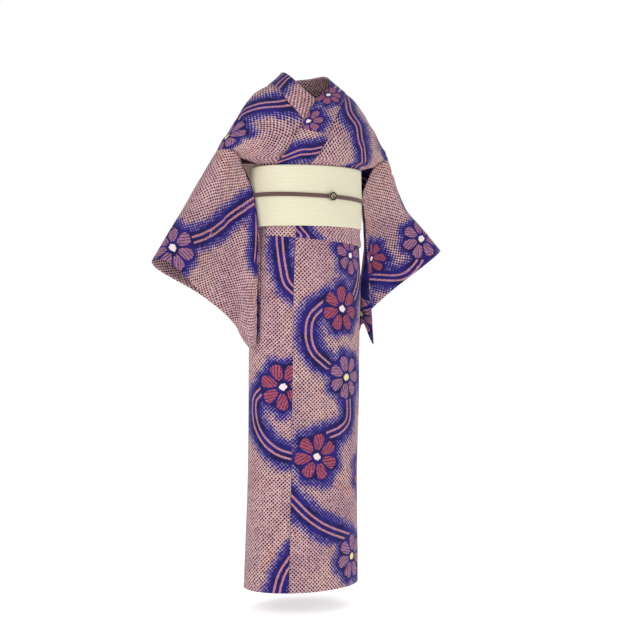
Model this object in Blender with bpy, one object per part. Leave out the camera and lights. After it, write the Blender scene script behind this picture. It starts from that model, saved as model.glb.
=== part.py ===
"""A cotton yukata in its worn, hollow form, closed left over right, with its own belt, cord and cord ornament.

Metres, +Z up. The front faces -Y and the wearer's right is -X. The origin is the middle of the neck at the
height of the shoulders, where the wearer holds the garment up.
"""

import functools
import math

import bmesh
import bpy
import numpy as np

# Cloth and seams
WALL = 0.0012             # yukata cloth, as one wall
COLLAR_WALL = 0.0030      # the collar is cloth folded round a core
COVER_WALL = 0.0010       # the over-collar
BELT_WALL = 0.0030        # the belt is woven double
SEAM = 0.0003             # clearance between neighbours at a seam
LAP = 0.0055              # how far the left front lies outside the right one
LAP_TUCK = 0.0070         # the same where both are tucked up under the belt
TUCK_STEP = 0.0022        # from one layer of the waist tuck to the next

# Heights, measured from the shoulders
HEM = -1.347
BELT_TOP = -0.234
BELT_BOTTOM = -0.392
TUCK_TOP = -0.372         # where the cord under the belt holds the tuck
TUCK_RIGHT = -0.416       # lower edge of the tuck at the wearer's right
TUCK_LEFT = -0.441        # and at the wearer's left
SLACK_TOP = -0.250        # the cloth is at its full offset from here down to the tuck
OKUMI_TIP = -0.2365       # top of the narrow front panels, just under the belt's upper edge
COLLAR_END = -0.330

# Angles round the body, in degrees: 0 is the wearer's left, -90 the front, 90 the back
SIDE_LEFT = -4.0
OKUMI_SEAM = -122.0       # seam between the left front and its narrow panel
OKUMI_EDGE = -190.0       # free edge of the left narrow panel on the skirt
OKUMI_EDGE_TUCK = -158.0  # free edge of the same panel where the tuck shows

# Body sections: height, half width, front, side and back depth, and shift to the wearer's left
BODY = (
    (0.010, 0.060, -0.030, 0.025, 0.080, 0.000),
    (-0.008, 0.100, -0.044, 0.030, 0.090, 0.000),
    (-0.022, 0.128, -0.061, 0.034, 0.098, 0.000),
    (-0.035, 0.148, -0.070, 0.036, 0.102, 0.000),
    (-0.050, 0.162, -0.077, 0.036, 0.105, 0.000),
    (-0.075, 0.182, -0.087, 0.036, 0.109, 0.000),
    (-0.108, 0.200, -0.096, 0.036, 0.113, 0.000),
    (-0.152, 0.223, -0.104, 0.037, 0.115, 0.000),
    (-0.194, 0.246, -0.109, 0.030, 0.114, 0.000),
    (-0.222, 0.215, -0.108, 0.012, 0.108, 0.000),
    (-0.230, 0.146, -0.104, 0.001, 0.102, 0.000),
    (-0.238, 0.140, -0.098, 0.000, 0.098, 0.000),
    (-0.300, 0.140, -0.098, 0.000, 0.098, 0.000),
    (-0.390, 0.140, -0.098, 0.000, 0.098, 0.000),
    (-0.440, 0.143, -0.101, 0.000, 0.101, -0.001),
    (-0.500, 0.149, -0.104, 0.001, 0.105, -0.003),
    (-0.700, 0.152, -0.104, 0.003, 0.108, -0.006),
    (-1.000, 0.151, -0.102, 0.005, 0.110, -0.009),
    (-1.347, 0.157, -0.103, 0.009, 0.120, -0.014),
)
CHEST_LOW = -0.222        # above this the sections are the chest's; just below, the belt draws them in

# Narrow front panels: width in degrees at a height, from the tip down to where the collar ends
OKUMI_WIDTH = ((-0.333, 13.5), (-0.297, 9.0), (-0.262, 4.5), (-0.240, 1.2), (OKUMI_TIP, 0.35))
COLLAR_GAP = 1.3         # degrees between the collar's edge and what is sewn to it, under the belt
SEAM_HALF = 0.08          # half the gap in degrees at a seam along the body
BELT_ROWS = (-0.2295, -0.240, -0.262, -0.297, -0.333, -0.356)
TUCK_EDGE_FROM = -0.362   # from here down through the tuck the free edge stays where the tuck shows it

# Left collar, from the back of the neck down to the belt: share of the lap, then the free edge and the
# seam edge, each as sideways, depth and height
COLLAR = (
    (0.5, 0.000, 0.084, 0.024, 0.000, 0.099, -0.031),
    (0.6, 0.043, 0.070, 0.029, 0.060, 0.089, -0.022),
    (0.8, 0.060, 0.020, 0.027, 0.098, 0.032, -0.007),
    (1.0, 0.052, -0.030, 0.004, 0.097, -0.028, -0.021),
    (1.0, 0.022, -0.066, -0.027, 0.075, -0.064, -0.050),
    (1.0, -0.015, -0.080, -0.056, 0.053, -0.082, -0.075),
    (1.0, -0.044, -0.090, -0.094, 0.030, -0.095, -0.108),
    (1.0, -0.073, -0.095, -0.139, 0.006, -0.104, -0.152),
    (1.0, -0.100, -0.094, -0.183, -0.018, -0.108, -0.195),
    (1.0, -0.124, -0.080, -0.234, -0.052, -0.106, -0.238),
    (1.0, -0.138, -0.046, -0.330, -0.098, -0.075, -0.330),
)
COVER_END = 7.0           # the over-collar ends at this row of the collar on both sides
CROSSING_SHIFT = -0.032   # the collars cross to the wearer's right of the middle

# Sleeves: share along the arm, then five points down the cloth, each as outward, back and height
RIGHT_SLEEVE = (
    (0.00, (0.247, 0.042, -0.194), (0.184, 0.016, -0.226), (0.174, -0.034, -0.395),
     (0.172, -0.036, -0.550), (0.176, -0.036, -0.702)),
    (0.25, (0.292, 0.048, -0.270), (0.230, 0.024, -0.342), (0.190, -0.012, -0.465),
     (0.176, -0.018, -0.585), (0.177, -0.026, -0.704)),
    (0.50, (0.336, 0.038, -0.341), (0.262, 0.022, -0.425), (0.203, 0.002, -0.535),
     (0.180, 0.000, -0.625), (0.177, -0.016, -0.706)),
    (0.75, (0.385, 0.021, -0.411), (0.298, 0.016, -0.485), (0.217, 0.012, -0.580),
     (0.183, 0.016, -0.650), (0.175, -0.005, -0.708)),
    (1.00, (0.434, 0.004, -0.483), (0.335, 0.006, -0.549), (0.232, 0.016, -0.622),
     (0.185, 0.030, -0.670), (0.172, 0.006, -0.709)),
)
LEFT_SLEEVE = (
    (0.00, (0.247, 0.042, -0.190), (0.186, 0.014, -0.226), (0.188, -0.022, -0.390),
     (0.196, -0.030, -0.550), (0.205, -0.035, -0.704)),
    (0.22, (0.287, 0.047, -0.258), (0.224, 0.024, -0.338), (0.188, -0.002, -0.450),
     (0.180, -0.008, -0.555), (0.180, -0.010, -0.650)),
    (0.45, (0.325, 0.042, -0.325), (0.252, 0.024, -0.395), (0.200, 0.012, -0.488),
     (0.178, 0.012, -0.572), (0.174, 0.006, -0.650)),
    (0.70, (0.372, 0.022, -0.378), (0.286, 0.016, -0.443), (0.212, 0.018, -0.530),
     (0.184, 0.022, -0.604), (0.174, 0.016, -0.664)),
    (1.00, (0.427, 0.004, -0.440), (0.325, 0.006, -0.515), (0.225, 0.018, -0.595),
     (0.190, 0.030, -0.637), (0.174, 0.024, -0.682)),
)
SLEEVE_DEPTH = 0.55       # cloth from the fold over the arm to the bottom of the sleeve
ARM_ROOM = (0.056, 0.040)  # half the room for the arm, at the armhole and at the cuff
ROOM_FADE = (0.200, 0.210)  # depth below which the two sides of the sleeve lie together
SIDES_APART = 0.0035      # half the distance between them there
ARMHOLE_SEWN = 0.125      # cloth depth to which the sleeve is sewn to the body
CUFF_OPEN = 0.230         # cloth depth of the cuff opening; it is sewn shut below

# Belt, knot and cord
BELT_OFFSET = 0.0132      # inside of the belt, from the body section
DRUM_HALF_WIDTH = 0.142
DRUM = (
    (0.138, -0.176), (0.164, -0.166), (0.187, -0.184), (0.198, -0.240), (0.200, -0.320),
    (0.196, -0.385), (0.180, -0.412), (0.148, -0.412), (0.1228, -0.388), (0.1188, -0.320),
    (0.1192, -0.250), (0.1248, -0.202),
)
TAIL_BEHIND = 0.1162      # depth of the belt's end, between the belt and the knot
TAIL_DROP = 0.085         # how far the belt's end hangs below the knot
CORD_HEIGHT = 0.0110
CORD_DEPTH = 0.0050
CORD_RIGHT = -0.309       # height of the cord at the wearer's right
CORD_LEFT = -0.318        # and at the wearer's left
CORD_BEHIND = 0.1300      # depth at which the cord runs through the knot
CORD_SQUARE = 0.2         # power that squares its way round behind
ORNAMENT_RADIUS = 0.0115
ORNAMENT_DEPTH = 0.0060
ORNAMENT_SIDEWAYS = 0.013

# Mesh density
ACROSS_PANEL = 9
ACROSS_OKUMI = 4
ACROSS_COLLAR = 4
COLLAR_STEPS = 20         # rows of the collar on each side
ROWS_SKIRT = 8
FOLD_TURN = 12            # the row of a panel where the tuck turns down again under the belt
ROWS_CHEST = 13           # half rows of the collar, from 8.5 up to 2.0
ROWS_NAPE = 9             # of these, the ones below the collar behind
RINGS_SLEEVE = 12
AROUND_BELT = 56


def clear_scene():
    for obj in list(bpy.data.objects):
        bpy.data.objects.remove(obj, do_unlink=True)


def cloth_material(name, colour, roughness, metallic=0.0):
    material = bpy.data.materials.new(name)
    material.use_nodes = True
    shader = material.node_tree.nodes["Principled BSDF"]
    shader.inputs["Base Color"].default_value = (*colour, 1.0)
    shader.inputs["Roughness"].default_value = roughness
    shader.inputs["Metallic"].default_value = metallic
    return material


def smooth_column(knots, values, at):
    """Cubic through the knots that never overshoots between them."""
    knots = np.asarray(knots, float)
    values = np.asarray(values, float)
    widths = np.diff(knots)
    slopes = np.diff(values) / widths
    tangents = np.zeros(len(knots))
    tangents[0] = slopes[0]
    tangents[-1] = slopes[-1]
    for i in range(1, len(knots) - 1):
        if slopes[i - 1] * slopes[i] > 0.0:
            before = 2.0 * widths[i] + widths[i - 1]
            after = widths[i] + 2.0 * widths[i - 1]
            tangents[i] = (before + after) / (before / slopes[i - 1] + after / slopes[i])
    at = min(max(at, knots[0]), knots[-1])
    i = min(int(np.searchsorted(knots, at, side="right")) - 1, len(widths) - 1)
    u = (at - knots[i]) / widths[i]
    return ((1 + 2 * u) * (1 - u) ** 2 * values[i] + u * (1 - u) ** 2 * widths[i] * tangents[i]
            + u * u * (3 - 2 * u) * values[i + 1] + u * u * (u - 1) * widths[i] * tangents[i + 1])


def curve_through(knots, points, at):
    """Smooth curve through points, one column at a time, with slopes taken from both neighbours."""
    knots = np.asarray(knots, float)
    points = np.asarray(points, float)
    tangents = np.gradient(points, knots, axis=0)
    at = min(max(at, knots[0]), knots[-1])
    i = min(int(np.searchsorted(knots, at, side="right")) - 1, len(knots) - 2)
    width = knots[i + 1] - knots[i]
    u = (at - knots[i]) / width
    return ((1 + 2 * u) * (1 - u) ** 2 * points[i] + u * (1 - u) ** 2 * width * tangents[i]
            + u * u * (3 - 2 * u) * points[i + 1] + u * u * (u - 1) * width * tangents[i + 1])


def ramp(value, start, end):
    """0 before start, 1 after end, smooth between."""
    u = min(max((value - start) / (end - start), 0.0), 1.0)
    return u * u * (3.0 - 2.0 * u)


def body_section(height):
    rising = sorted(BODY)
    knots = [row[0] for row in rising]
    return [smooth_column(knots, [row[i] for row in rising], height) for i in range(1, 6)]


def body_point(angle, height, offset, lowest=HEM):
    """A point of the worn form, moved outwards by an offset; below lowest the form goes on as it is there."""
    half_width, front, side, back, shift = body_section(max(height, lowest))
    cosine = math.cos(math.radians(angle))
    sine = math.sin(math.radians(angle))
    depth = (side - front) if sine < 0.0 else (back - side)
    return np.array((shift + (half_width + offset) * cosine, side + (depth + offset) * sine, height))


def tuck_bottom(angle):
    """Lower edge of the waist tuck, which slopes down from the wearer's right to the left."""
    left_share = 0.5 + 0.5 * math.cos(math.radians(angle))
    return TUCK_RIGHT + (TUCK_LEFT - TUCK_RIGHT) * left_share


def lap_at(height):
    """Distance between the two fronts, larger where both are tucked."""
    return LAP + (LAP_TUCK - LAP) * ramp(-height, 0.28, 0.36) * (1.0 - ramp(-height, 0.44, 0.56))


def lap_share(angle):
    """1 for the left front, 0 for the right one, changing over across the back."""
    return 1.0 - ramp(angle, 0.0, 180.0)


def slack_at(height):
    """How far the outer layer stands out under the belt, where it comes down over the tuck."""
    return 2.0 * TUCK_STEP * ramp(-height, -SLACK_TOP, 0.350)


def fold_rows(angle):
    """One column of cloth from the belt down: height and offset of each row, through the tuck to the hem."""
    bottom = tuck_bottom(angle)
    outer, middle = 2.0 * TUCK_STEP, TUCK_STEP
    half = 0.5 * TUCK_STEP
    rows = [(height, slack_at(height)) for height in BELT_ROWS]
    rows += [(bottom + 0.022, outer), (bottom + half, outer), (bottom, middle + half), (bottom + half, middle)]
    rows += [(bottom + 0.022, middle), (TUCK_TOP - half, middle), (TUCK_TOP, half), (TUCK_TOP - half, 0.0)]
    start = bottom + 0.012
    rows += [(start + (HEM - start) * (i / ROWS_SKIRT) ** 1.2, 0.0) for i in range(ROWS_SKIRT + 1)]
    return rows


@functools.lru_cache(maxsize=None)
def collar_line(side):
    """Heights of the collar's seam edge under the belt, rising, and its angles as on the wearer's left."""
    line = []
    for step in range(6):
        row = 10.0 - 0.5 * step
        seam = collar_point(row, side, 1.0)
        half_width, front, middle, back, shift = body_section(seam[2])
        offset = (lap_at(seam[2]) if side > 0 else 0.0) + slack_at(seam[2])
        line.append((seam[2], -math.degrees(math.acos(side * (seam[0] - shift) / (half_width + offset)))))
    return line


def front_edges(height, side, skirt):
    """Angles of a narrow front panel's free edge and of its seam at a height, as on the wearer's left."""
    line = collar_line(side)
    ended = (COLLAR_END - 0.003, line[0][1])
    edge = [(-1.0, OKUMI_EDGE_TUCK), (TUCK_EDGE_FROM, OKUMI_EDGE_TUCK), ended] + list(line)
    collar = smooth_column([e[0] for e in edge], [e[1] for e in edge], height)
    free = collar + COLLAR_GAP * (1.0 - ramp(-height, -COLLAR_END, -TUCK_EDGE_FROM))
    width = 0.0
    if height <= OKUMI_TIP:
        width = smooth_column([e[0] for e in OKUMI_WIDTH], [e[1] for e in OKUMI_WIDTH], height)
    seam = free + width
    seam = seam + (OKUMI_SEAM - seam) * ramp(-height, -COLLAR_END + 0.003, -TUCK_EDGE_FROM)
    if skirt:
        free = free + (OKUMI_EDGE - free) * ramp(-height, -TUCK_TOP, 0.46)
    return free, seam


def sleeve_middle(table, along, down):
    """The surface midway between a sleeve's two sides."""
    stations = (0.0, 0.25, 0.5, 0.75, 1.0)
    shares = [row[0] for row in table]
    column = [curve_through(shares, [row[1 + i] for row in table], along) for i in range(len(stations))]
    if along < 0.0:
        slope = [(np.array(table[1][1 + i]) - np.array(table[0][1 + i])) / table[1][0] for i in range(len(stations))]
        column = [point + along * step for point, step in zip(column, slope)]
    return curve_through(stations, column, down)


def sleeve_room(along, down):
    """Half the distance between a sleeve's two sides: round over the arm, closing below it."""
    share = min(max(along, 0.0), 1.0)
    room = ARM_ROOM[0] + (ARM_ROOM[1] - ARM_ROOM[0]) * share
    fade = ROOM_FADE[0] + (ROOM_FADE[1] - ROOM_FADE[0]) * share
    depth = down * SLEEVE_DEPTH
    if depth < room:
        return room * math.sqrt(max(depth * (2.0 * room - depth), 0.0)) / room
    return SIDES_APART + (room - SIDES_APART) * (1.0 - ramp(depth, room, fade))


def sleeve_point(table, along, down, face):
    """A point of a sleeve's cloth; face is -1 on the front side and 1 on the back."""
    step = 0.004
    low, high = max(down - step, 0.0), min(down + step, 1.0)
    side_step = sleeve_middle(table, min(along + step, 1.0), down) - sleeve_middle(table, min(along, 1.0) - step, down)
    down_step = sleeve_middle(table, along, high) - sleeve_middle(table, along, low)
    normal = np.cross(side_step, down_step)
    normal = normal / np.linalg.norm(normal)
    return sleeve_middle(table, along, down) + face * normal * sleeve_room(along, down)


def mirrored(point):
    return np.array((-point[0], point[1], point[2]))


def front_point(sideways, height, share):
    """The point of the front at a place seen from the front; share 1 is the left front and 0 the right."""
    half_width, front, side, back, shift = body_section(height)
    offset = share * lap_at(height) + slack_at(height)
    cosine = min(max((sideways - shift) / (half_width + offset), -1.0), 1.0)
    return body_point(-math.degrees(math.acos(cosine)), height, offset)


def collar_point(row, side, across):
    """A point of the collar: row down from the nape, across 0 at the free edge and 1 at the seam edge."""
    knots = list(range(len(COLLAR)))
    share, *numbers = curve_through(knots, [list(entry) for entry in COLLAR], row)
    free, seam = np.array(numbers[:3]), np.array(numbers[3:])
    point = free + (seam - free) * across
    if side < 0:
        share = 1.0 - share
        shift = CROSSING_SHIFT * ramp(row, 2.0, 5.0) * (1.0 - ramp(row, 8.0, 10.0))
        point = mirrored(point) + np.array((shift, 0.0, 0.0))
    outward = np.array((0.0, -1.0, 0.0)) * ramp(row, 1.0, 4.0) + np.array((0.0, 1.0, 0.0)) * (1.0 - ramp(row, 0.0, 2.0))
    point = point + outward * share * LAP
    on_body = ramp(row, 3.0, 5.0)
    return point + (front_point(point[0], point[2], share) - point) * on_body


def grid_normals(rows):
    points = np.asarray(rows, float)
    normals = np.cross(np.gradient(points, axis=0), np.gradient(points, axis=1))
    return normals / np.maximum(np.linalg.norm(normals, axis=2, keepdims=True), 1e-12)


def add_object(name, vertices, faces, material):
    mesh = bpy.data.meshes.new(name)
    mesh.from_pydata([tuple(map(float, v)) for v in vertices], [], faces)
    body = bmesh.new()
    body.from_mesh(mesh)
    bmesh.ops.recalc_face_normals(body, faces=body.faces)
    bmesh.ops.triangulate(body, faces=body.faces)
    body.to_mesh(mesh)
    body.free()
    mesh.shade_smooth()
    mesh.materials.append(material)
    obj = bpy.data.objects.new(name, mesh)
    bpy.context.scene.collection.objects.link(obj)
    return obj


def cloth_solid(name, rows, wall, material, ring=False):
    """A wall of even thickness whose middle lies on a grid of points; a ring closes on itself along its rows."""
    points = np.asarray(rows, float)
    if ring:
        wrapped = np.concatenate((points[:, -1:], points, points[:, :1]), axis=1)
        normals = grid_normals(wrapped)[:, 1:-1]
    else:
        normals = grid_normals(points)
    count_rows, count_columns = points.shape[:2]
    vertices = np.concatenate(((points + normals * wall / 2).reshape(-1, 3), (points - normals * wall / 2).reshape(-1, 3)))
    under = count_rows * count_columns

    def at(row, column):
        return row * count_columns + column % count_columns

    faces = []
    columns = count_columns if ring else count_columns - 1
    for row in range(count_rows - 1):
        for column in range(columns):
            quad = (at(row, column), at(row, column + 1), at(row + 1, column + 1), at(row + 1, column))
            faces.append(quad)
            faces.append(tuple(under + i for i in reversed(quad)))
    for row in (0, count_rows - 1):
        for column in range(columns):
            a, b = at(row, column), at(row, column + 1)
            faces.append((a, b, under + b, under + a))
    if not ring:
        for column in (0, count_columns - 1):
            for row in range(count_rows - 1):
                a, b = at(row, column), at(row + 1, column)
                faces.append((a, b, under + b, under + a))
    return add_object(name, vertices, faces, material)


def seam_share(step):
    """Share of the sewn armhole at a row of the chest, 1 at the belt and 0 on the shoulder."""
    return 1.0 - ramp(step / ROWS_CHEST, 0.0, 1.0) ** 0.9


def armhole_point(table, side, share, face):
    """The body's edge at the armhole, share 0 at the shoulder and 1 where the cloth goes under the belt."""
    gap = SEAM + 0.6 * WALL
    point = sleeve_point(table, -gap / 0.34, share * ARMHOLE_SEWN / SLEEVE_DEPTH, face)
    return point if side > 0 else mirrored(point)


def chest_rows(side, face):
    """Rows of a body panel between the belt and the shoulder, in front (face -1) or behind (face 1)."""
    table = LEFT_SLEEVE if side > 0 else RIGHT_SLEEVE
    front = face < 0
    rows = []
    for i in range(ROWS_CHEST + 1):
        outer = armhole_point(table, side, seam_share(i), face)
        row_of_collar = 8.5 - 0.5 * i if front else 0.5 * (i - ROWS_NAPE)
        if row_of_collar >= 0.0:
            seam = collar_point(row_of_collar, side, 1.0)
            across = seam - collar_point(row_of_collar, side, 0.9)
            inner = seam + across / np.linalg.norm(across) * (SEAM + 0.6 * WALL)
            inner[0] += side * (0.5 * SEAM + 0.0002) * (row_of_collar == 0.0)
        else:
            height = COLLAR[0][6] + (CHEST_LOW - COLLAR[0][6]) * (1.0 - i / ROWS_NAPE)
            inner = body_point(90.0 - side * 0.2, height, 0.5 * LAP, CHEST_LOW)
        rows.append(patch_row(inner, outer, side, front))
    return rows


def patch_row(inner, outer, side, front):
    """Points from an inner to an outer edge that follow the body's form between them."""
    def angle_of(point):
        half_width, near, middle, far, shift = body_section(max(point[2], CHEST_LOW))
        cosine = min(max((point[0] - shift) / (half_width + 0.004), -1.0), 1.0)
        return -math.degrees(math.acos(cosine)) if front else math.degrees(math.acos(cosine))

    start, end = angle_of(inner), angle_of(outer)
    points = []
    for i in range(ACROSS_PANEL + 1):
        w = i / ACROSS_PANEL
        offset = LAP * (1.0 - w ** 3) if side > 0 else 0.0
        base = body_point(start + (end - start) * w, inner[2] + (outer[2] - inner[2]) * w, offset, CHEST_LOW)
        from_inner = inner - body_point(start, inner[2], LAP if side > 0 else 0.0, CHEST_LOW)
        from_outer = outer - body_point(end, outer[2], 0.0, CHEST_LOW)
        points.append(base + from_inner * (1.0 - w) ** 2 + from_outer * w ** (3 if side > 0 else 2))
    return points


def panel_columns(side, face):
    """Angles of a body panel's columns, from its inner edge to the side seam, at a height."""
    def columns(height, skirt):
        if face < 0:
            inner = front_edges(height, side, skirt)[1] + SEAM_HALF
            outer = SIDE_LEFT - SEAM_HALF
        else:
            inner = 90.0 - SEAM_HALF
            outer = SIDE_LEFT + SEAM_HALF
        angles = [inner + (outer - inner) * i / ACROSS_PANEL for i in range(ACROSS_PANEL + 1)]
        return angles if side > 0 else [180.0 - angle for angle in angles]
    return columns


def offset_of(angle, height, side, face):
    share = (1.0 if side > 0 else 0.0) if face < 0 else lap_share(angle)
    return share * lap_at(height)


def lower_rows(side, face):
    """Rows of a body panel from the belt down, through the waist tuck to the hem."""
    columns = panel_columns(side, face)
    count = len(fold_rows(0.0))
    rows = []
    for i in range(count):
        skirt = i > FOLD_TURN
        points = []
        for j in range(ACROSS_PANEL + 1):
            nearly = columns(fold_rows(0.0)[i][0], skirt)[j]
            height, offset = fold_rows(nearly)[i]
            angle = columns(height, skirt)[j]
            points.append(body_point(angle, height, offset + offset_of(angle, height, side, face)))
        rows.append(points)
    return rows


def make_body_panel(name, side, material):
    """One body panel: front hem, waist tuck, chest, over the shoulder, and down the back to the hem."""
    front_low = lower_rows(side, -1)
    front_high = chest_rows(side, -1)
    back_high = chest_rows(side, 1)
    back_low = lower_rows(side, 1)
    rows = list(reversed(front_low)) + front_high + list(reversed(back_high))[1:] + back_low
    return cloth_solid(name, rows, WALL, material)


def make_okumi(name, side, material):
    """The narrow front panel between the body panel and the collar, from its tip down to the hem."""
    rows = []
    for i in range(len(fold_rows(0.0))):
        skirt = i > FOLD_TURN
        points = []
        for j in range(ACROSS_OKUMI + 1):
            level = fold_rows(OKUMI_SEAM)[i][0] if i > 0 else OKUMI_TIP
            free, seam = front_edges(level, side, skirt)
            angle = free + (seam - SEAM_HALF - free) * j / ACROSS_OKUMI
            true_angle = angle if side > 0 else 180.0 - angle
            height, offset = fold_rows(true_angle)[i] if i > 0 else (OKUMI_TIP, 0.0)
            lap = lap_at(height) if side > 0 else 0.0
            points.append(body_point(true_angle, height, offset + lap))
        rows.append(points)
    return cloth_solid(name, rows, WALL, material)


def collar_grid():
    """Points across the collar, from its left end round the back of the neck to its right end."""
    rows = []
    for side, steps in ((1, range(COLLAR_STEPS, -1, -1)), (-1, range(1, COLLAR_STEPS + 1))):
        for step in steps:
            row = 10.0 * step / COLLAR_STEPS
            rows.append([collar_point(row, side, j / ACROSS_COLLAR) for j in range(ACROSS_COLLAR + 1)])
    return np.array(rows)


def make_collar(name, material):
    """One band from the left end, round the back of the neck, to the right end."""
    return cloth_solid(name, collar_grid(), COLLAR_WALL, material)


def make_over_collar(name, material):
    """A second band over the collar's outside, from the left breast round to the right one."""
    rows = collar_grid()
    normals = grid_normals(rows)
    if normals[COLLAR_STEPS][ACROSS_COLLAR // 2][1] < 0.0:
        normals = -normals
    lift = COLLAR_WALL / 2 + SEAM + COVER_WALL / 2
    covered = int(round(COVER_END * COLLAR_STEPS / 10.0))
    outside = (rows + normals * lift)[COLLAR_STEPS - covered:COLLAR_STEPS + covered + 1]
    return cloth_solid(name, outside, COVER_WALL, material)


def make_sleeve(name, table, side, material):
    """A bag of cloth over the arm: open at the body and at the upper cuff, shut below and along the bottom."""
    downs = [seam_share(i) * ARMHOLE_SEWN / SLEEVE_DEPTH for i in range(ROWS_CHEST, -1, -1)]
    downs += [0.27, 0.34, CUFF_OPEN / SLEEVE_DEPTH, 0.52, 0.63, 0.75, 0.87, 1.0]
    half = len(downs) - 1
    loop = [(down, -1) for down in reversed(downs)] + [(down, 1) for down in downs[1:]]
    alongs = [i / RINGS_SLEEVE for i in range(RINGS_SLEEVE + 1)]
    points = np.array([[sleeve_point(table, along, down, face) for down, face in loop] for along in alongs])
    if side < 0:
        points[:, :, 0] *= -1.0
    count = len(loop)
    wrapped = np.concatenate((points[:, -1:], points, points[:, :1]), axis=1)
    normals = grid_normals(wrapped)[:, 1:-1]
    centre = 0.5 * (points[:, half - 2] + points[:, half + 2])
    if np.sum((points[:, half] - centre) * normals[:, half]) < 0.0:
        normals = -normals
    outer = points + normals * WALL / 2
    inner = points - normals * WALL / 2
    back_step = (inner[-2] - inner[-1])
    back_step = back_step / np.linalg.norm(back_step, axis=1, keepdims=True) * WALL
    shut = [k for k in range(count) if dict(enumerate(loop))[k][0] * SLEEVE_DEPTH >= CUFF_OPEN - 0.001]
    for k in shut:
        inner[-1][k] = inner[-1][k] + back_step[k]
    rings = len(alongs)
    under = rings * count
    vertices = np.concatenate((outer.reshape(-1, 3), inner.reshape(-1, 3)))

    def at(ring, k):
        return ring * count + k % count

    faces = []
    for ring in range(rings - 1):
        for k in range(count):
            quad = (at(ring, k), at(ring, k + 1), at(ring + 1, k + 1), at(ring + 1, k))
            faces.append(quad)
            faces.append(tuple(under + i for i in reversed(quad)))
    for k in range(count):
        faces.append((at(0, k), at(0, k + 1), under + at(0, k + 1), under + at(0, k)))
    last = rings - 1
    first_shut = max(k for k in shut if k < half)
    for k in range(first_shut, count - 1 - first_shut):
        faces.append((at(last, k), at(last, k + 1), under + at(last, k + 1), under + at(last, k)))
    for k in range(first_shut):
        mirror = count - 1 - k
        web = (at(last, k), at(last, k + 1), at(last, mirror - 1), at(last, mirror))
        faces.append(web)
        faces.append(tuple(under + i for i in reversed(web)))
    end = count - 1 - first_shut
    faces.append((at(last, first_shut), at(last, end), under + at(last, end), under + at(last, first_shut)))
    return add_object(name, vertices, faces, material)


def belt_ring(height, offset):
    return [body_point(360.0 * i / AROUND_BELT, height, offset) for i in range(AROUND_BELT)]


def make_belt(name, material):
    """The belt as it goes round, one wall."""
    heights = [BELT_TOP + (BELT_BOTTOM - BELT_TOP) * i / 4.0 for i in range(5)]
    section = BELT_OFFSET + BELT_WALL / 2
    rows = []
    for height in heights:
        ring = belt_ring(-0.320, section)
        rows.append([np.array((point[0], point[1], height)) for point in ring])
    return cloth_solid(name, rows, BELT_WALL, material, ring=True)


def make_drum(name, material):
    """The knot behind: the belt taken round in a flat drum, open at both ends."""
    count = len(DRUM)
    closed = [np.array(DRUM[i % count]) for i in range(-2, count + 3)]
    loop = []
    for i in range(count * 2):
        at = i / 2.0
        loop.append(curve_through(list(range(-2, count + 3)), closed, at))
    rows = []
    for j in range(7):
        x = -DRUM_HALF_WIDTH + 2.0 * DRUM_HALF_WIDTH * j / 6.0
        round_off = 0.006 * (x / DRUM_HALF_WIDTH) ** 2
        rows.append([np.array((x, y - round_off * ramp(y, 0.15, 0.20), z)) for y, z in loop])
    return cloth_solid(name, rows, BELT_WALL, material, ring=True)


def make_tail(name, material):
    """The end of the belt, which hangs below the knot, close behind the tuck."""
    rows = []
    top = -0.360
    for i in range(6):
        height = top - (TAIL_DROP + 0.052) * i / 5.0
        row = []
        for j in range(7):
            x = (DRUM_HALF_WIDTH - 0.004) * (-1.0 + 2.0 * j / 6.0)
            row.append(np.array((x, TAIL_BEHIND + 0.004 * ramp(-height, 0.42, 0.50), height)))
        rows.append(row)
    return cloth_solid(name, rows, BELT_WALL, material)


def make_cord(name, material):
    """The flat braided cord round the belt, through the knot behind."""
    sections = []
    for i in range(AROUND_BELT):
        angle = 360.0 * i / AROUND_BELT
        left_share = 0.5 + 0.5 * math.cos(math.radians(angle))
        height = CORD_RIGHT + (CORD_LEFT - CORD_RIGHT) * left_share
        base = BELT_OFFSET + BELT_WALL + SEAM + CORD_DEPTH / 2
        centre = body_point(angle, -0.320, base)
        if angle > 0.0 and angle < 180.0:
            half_width = body_point(0.0, -0.320, base)[0]
            centre[0] = half_width * math.copysign(abs(math.cos(math.radians(angle))) ** CORD_SQUARE, centre[0])
            centre[1] = CORD_BEHIND * math.sin(math.radians(angle)) ** CORD_SQUARE
        outer = body_point(angle, -0.320, base + 1.0)
        outward = (outer - centre) / np.linalg.norm(outer - centre)
        ring = []
        for k in range(8):
            turn = 2.0 * math.pi * k / 8.0
            point = centre + outward * (CORD_DEPTH / 2 * math.cos(turn))
            ring.append(np.array((point[0], point[1], height + CORD_HEIGHT / 2 * math.sin(turn))))
        sections.append(ring)
    count = len(sections)
    vertices = [point for ring in sections for point in ring]
    faces = []
    for i in range(count):
        for k in range(8):
            a = i * 8
            b = ((i + 1) % count) * 8
            faces.append((a + k, a + (k + 1) % 8, b + (k + 1) % 8, b + k))
    return add_object(name, vertices, faces, material)


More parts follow.
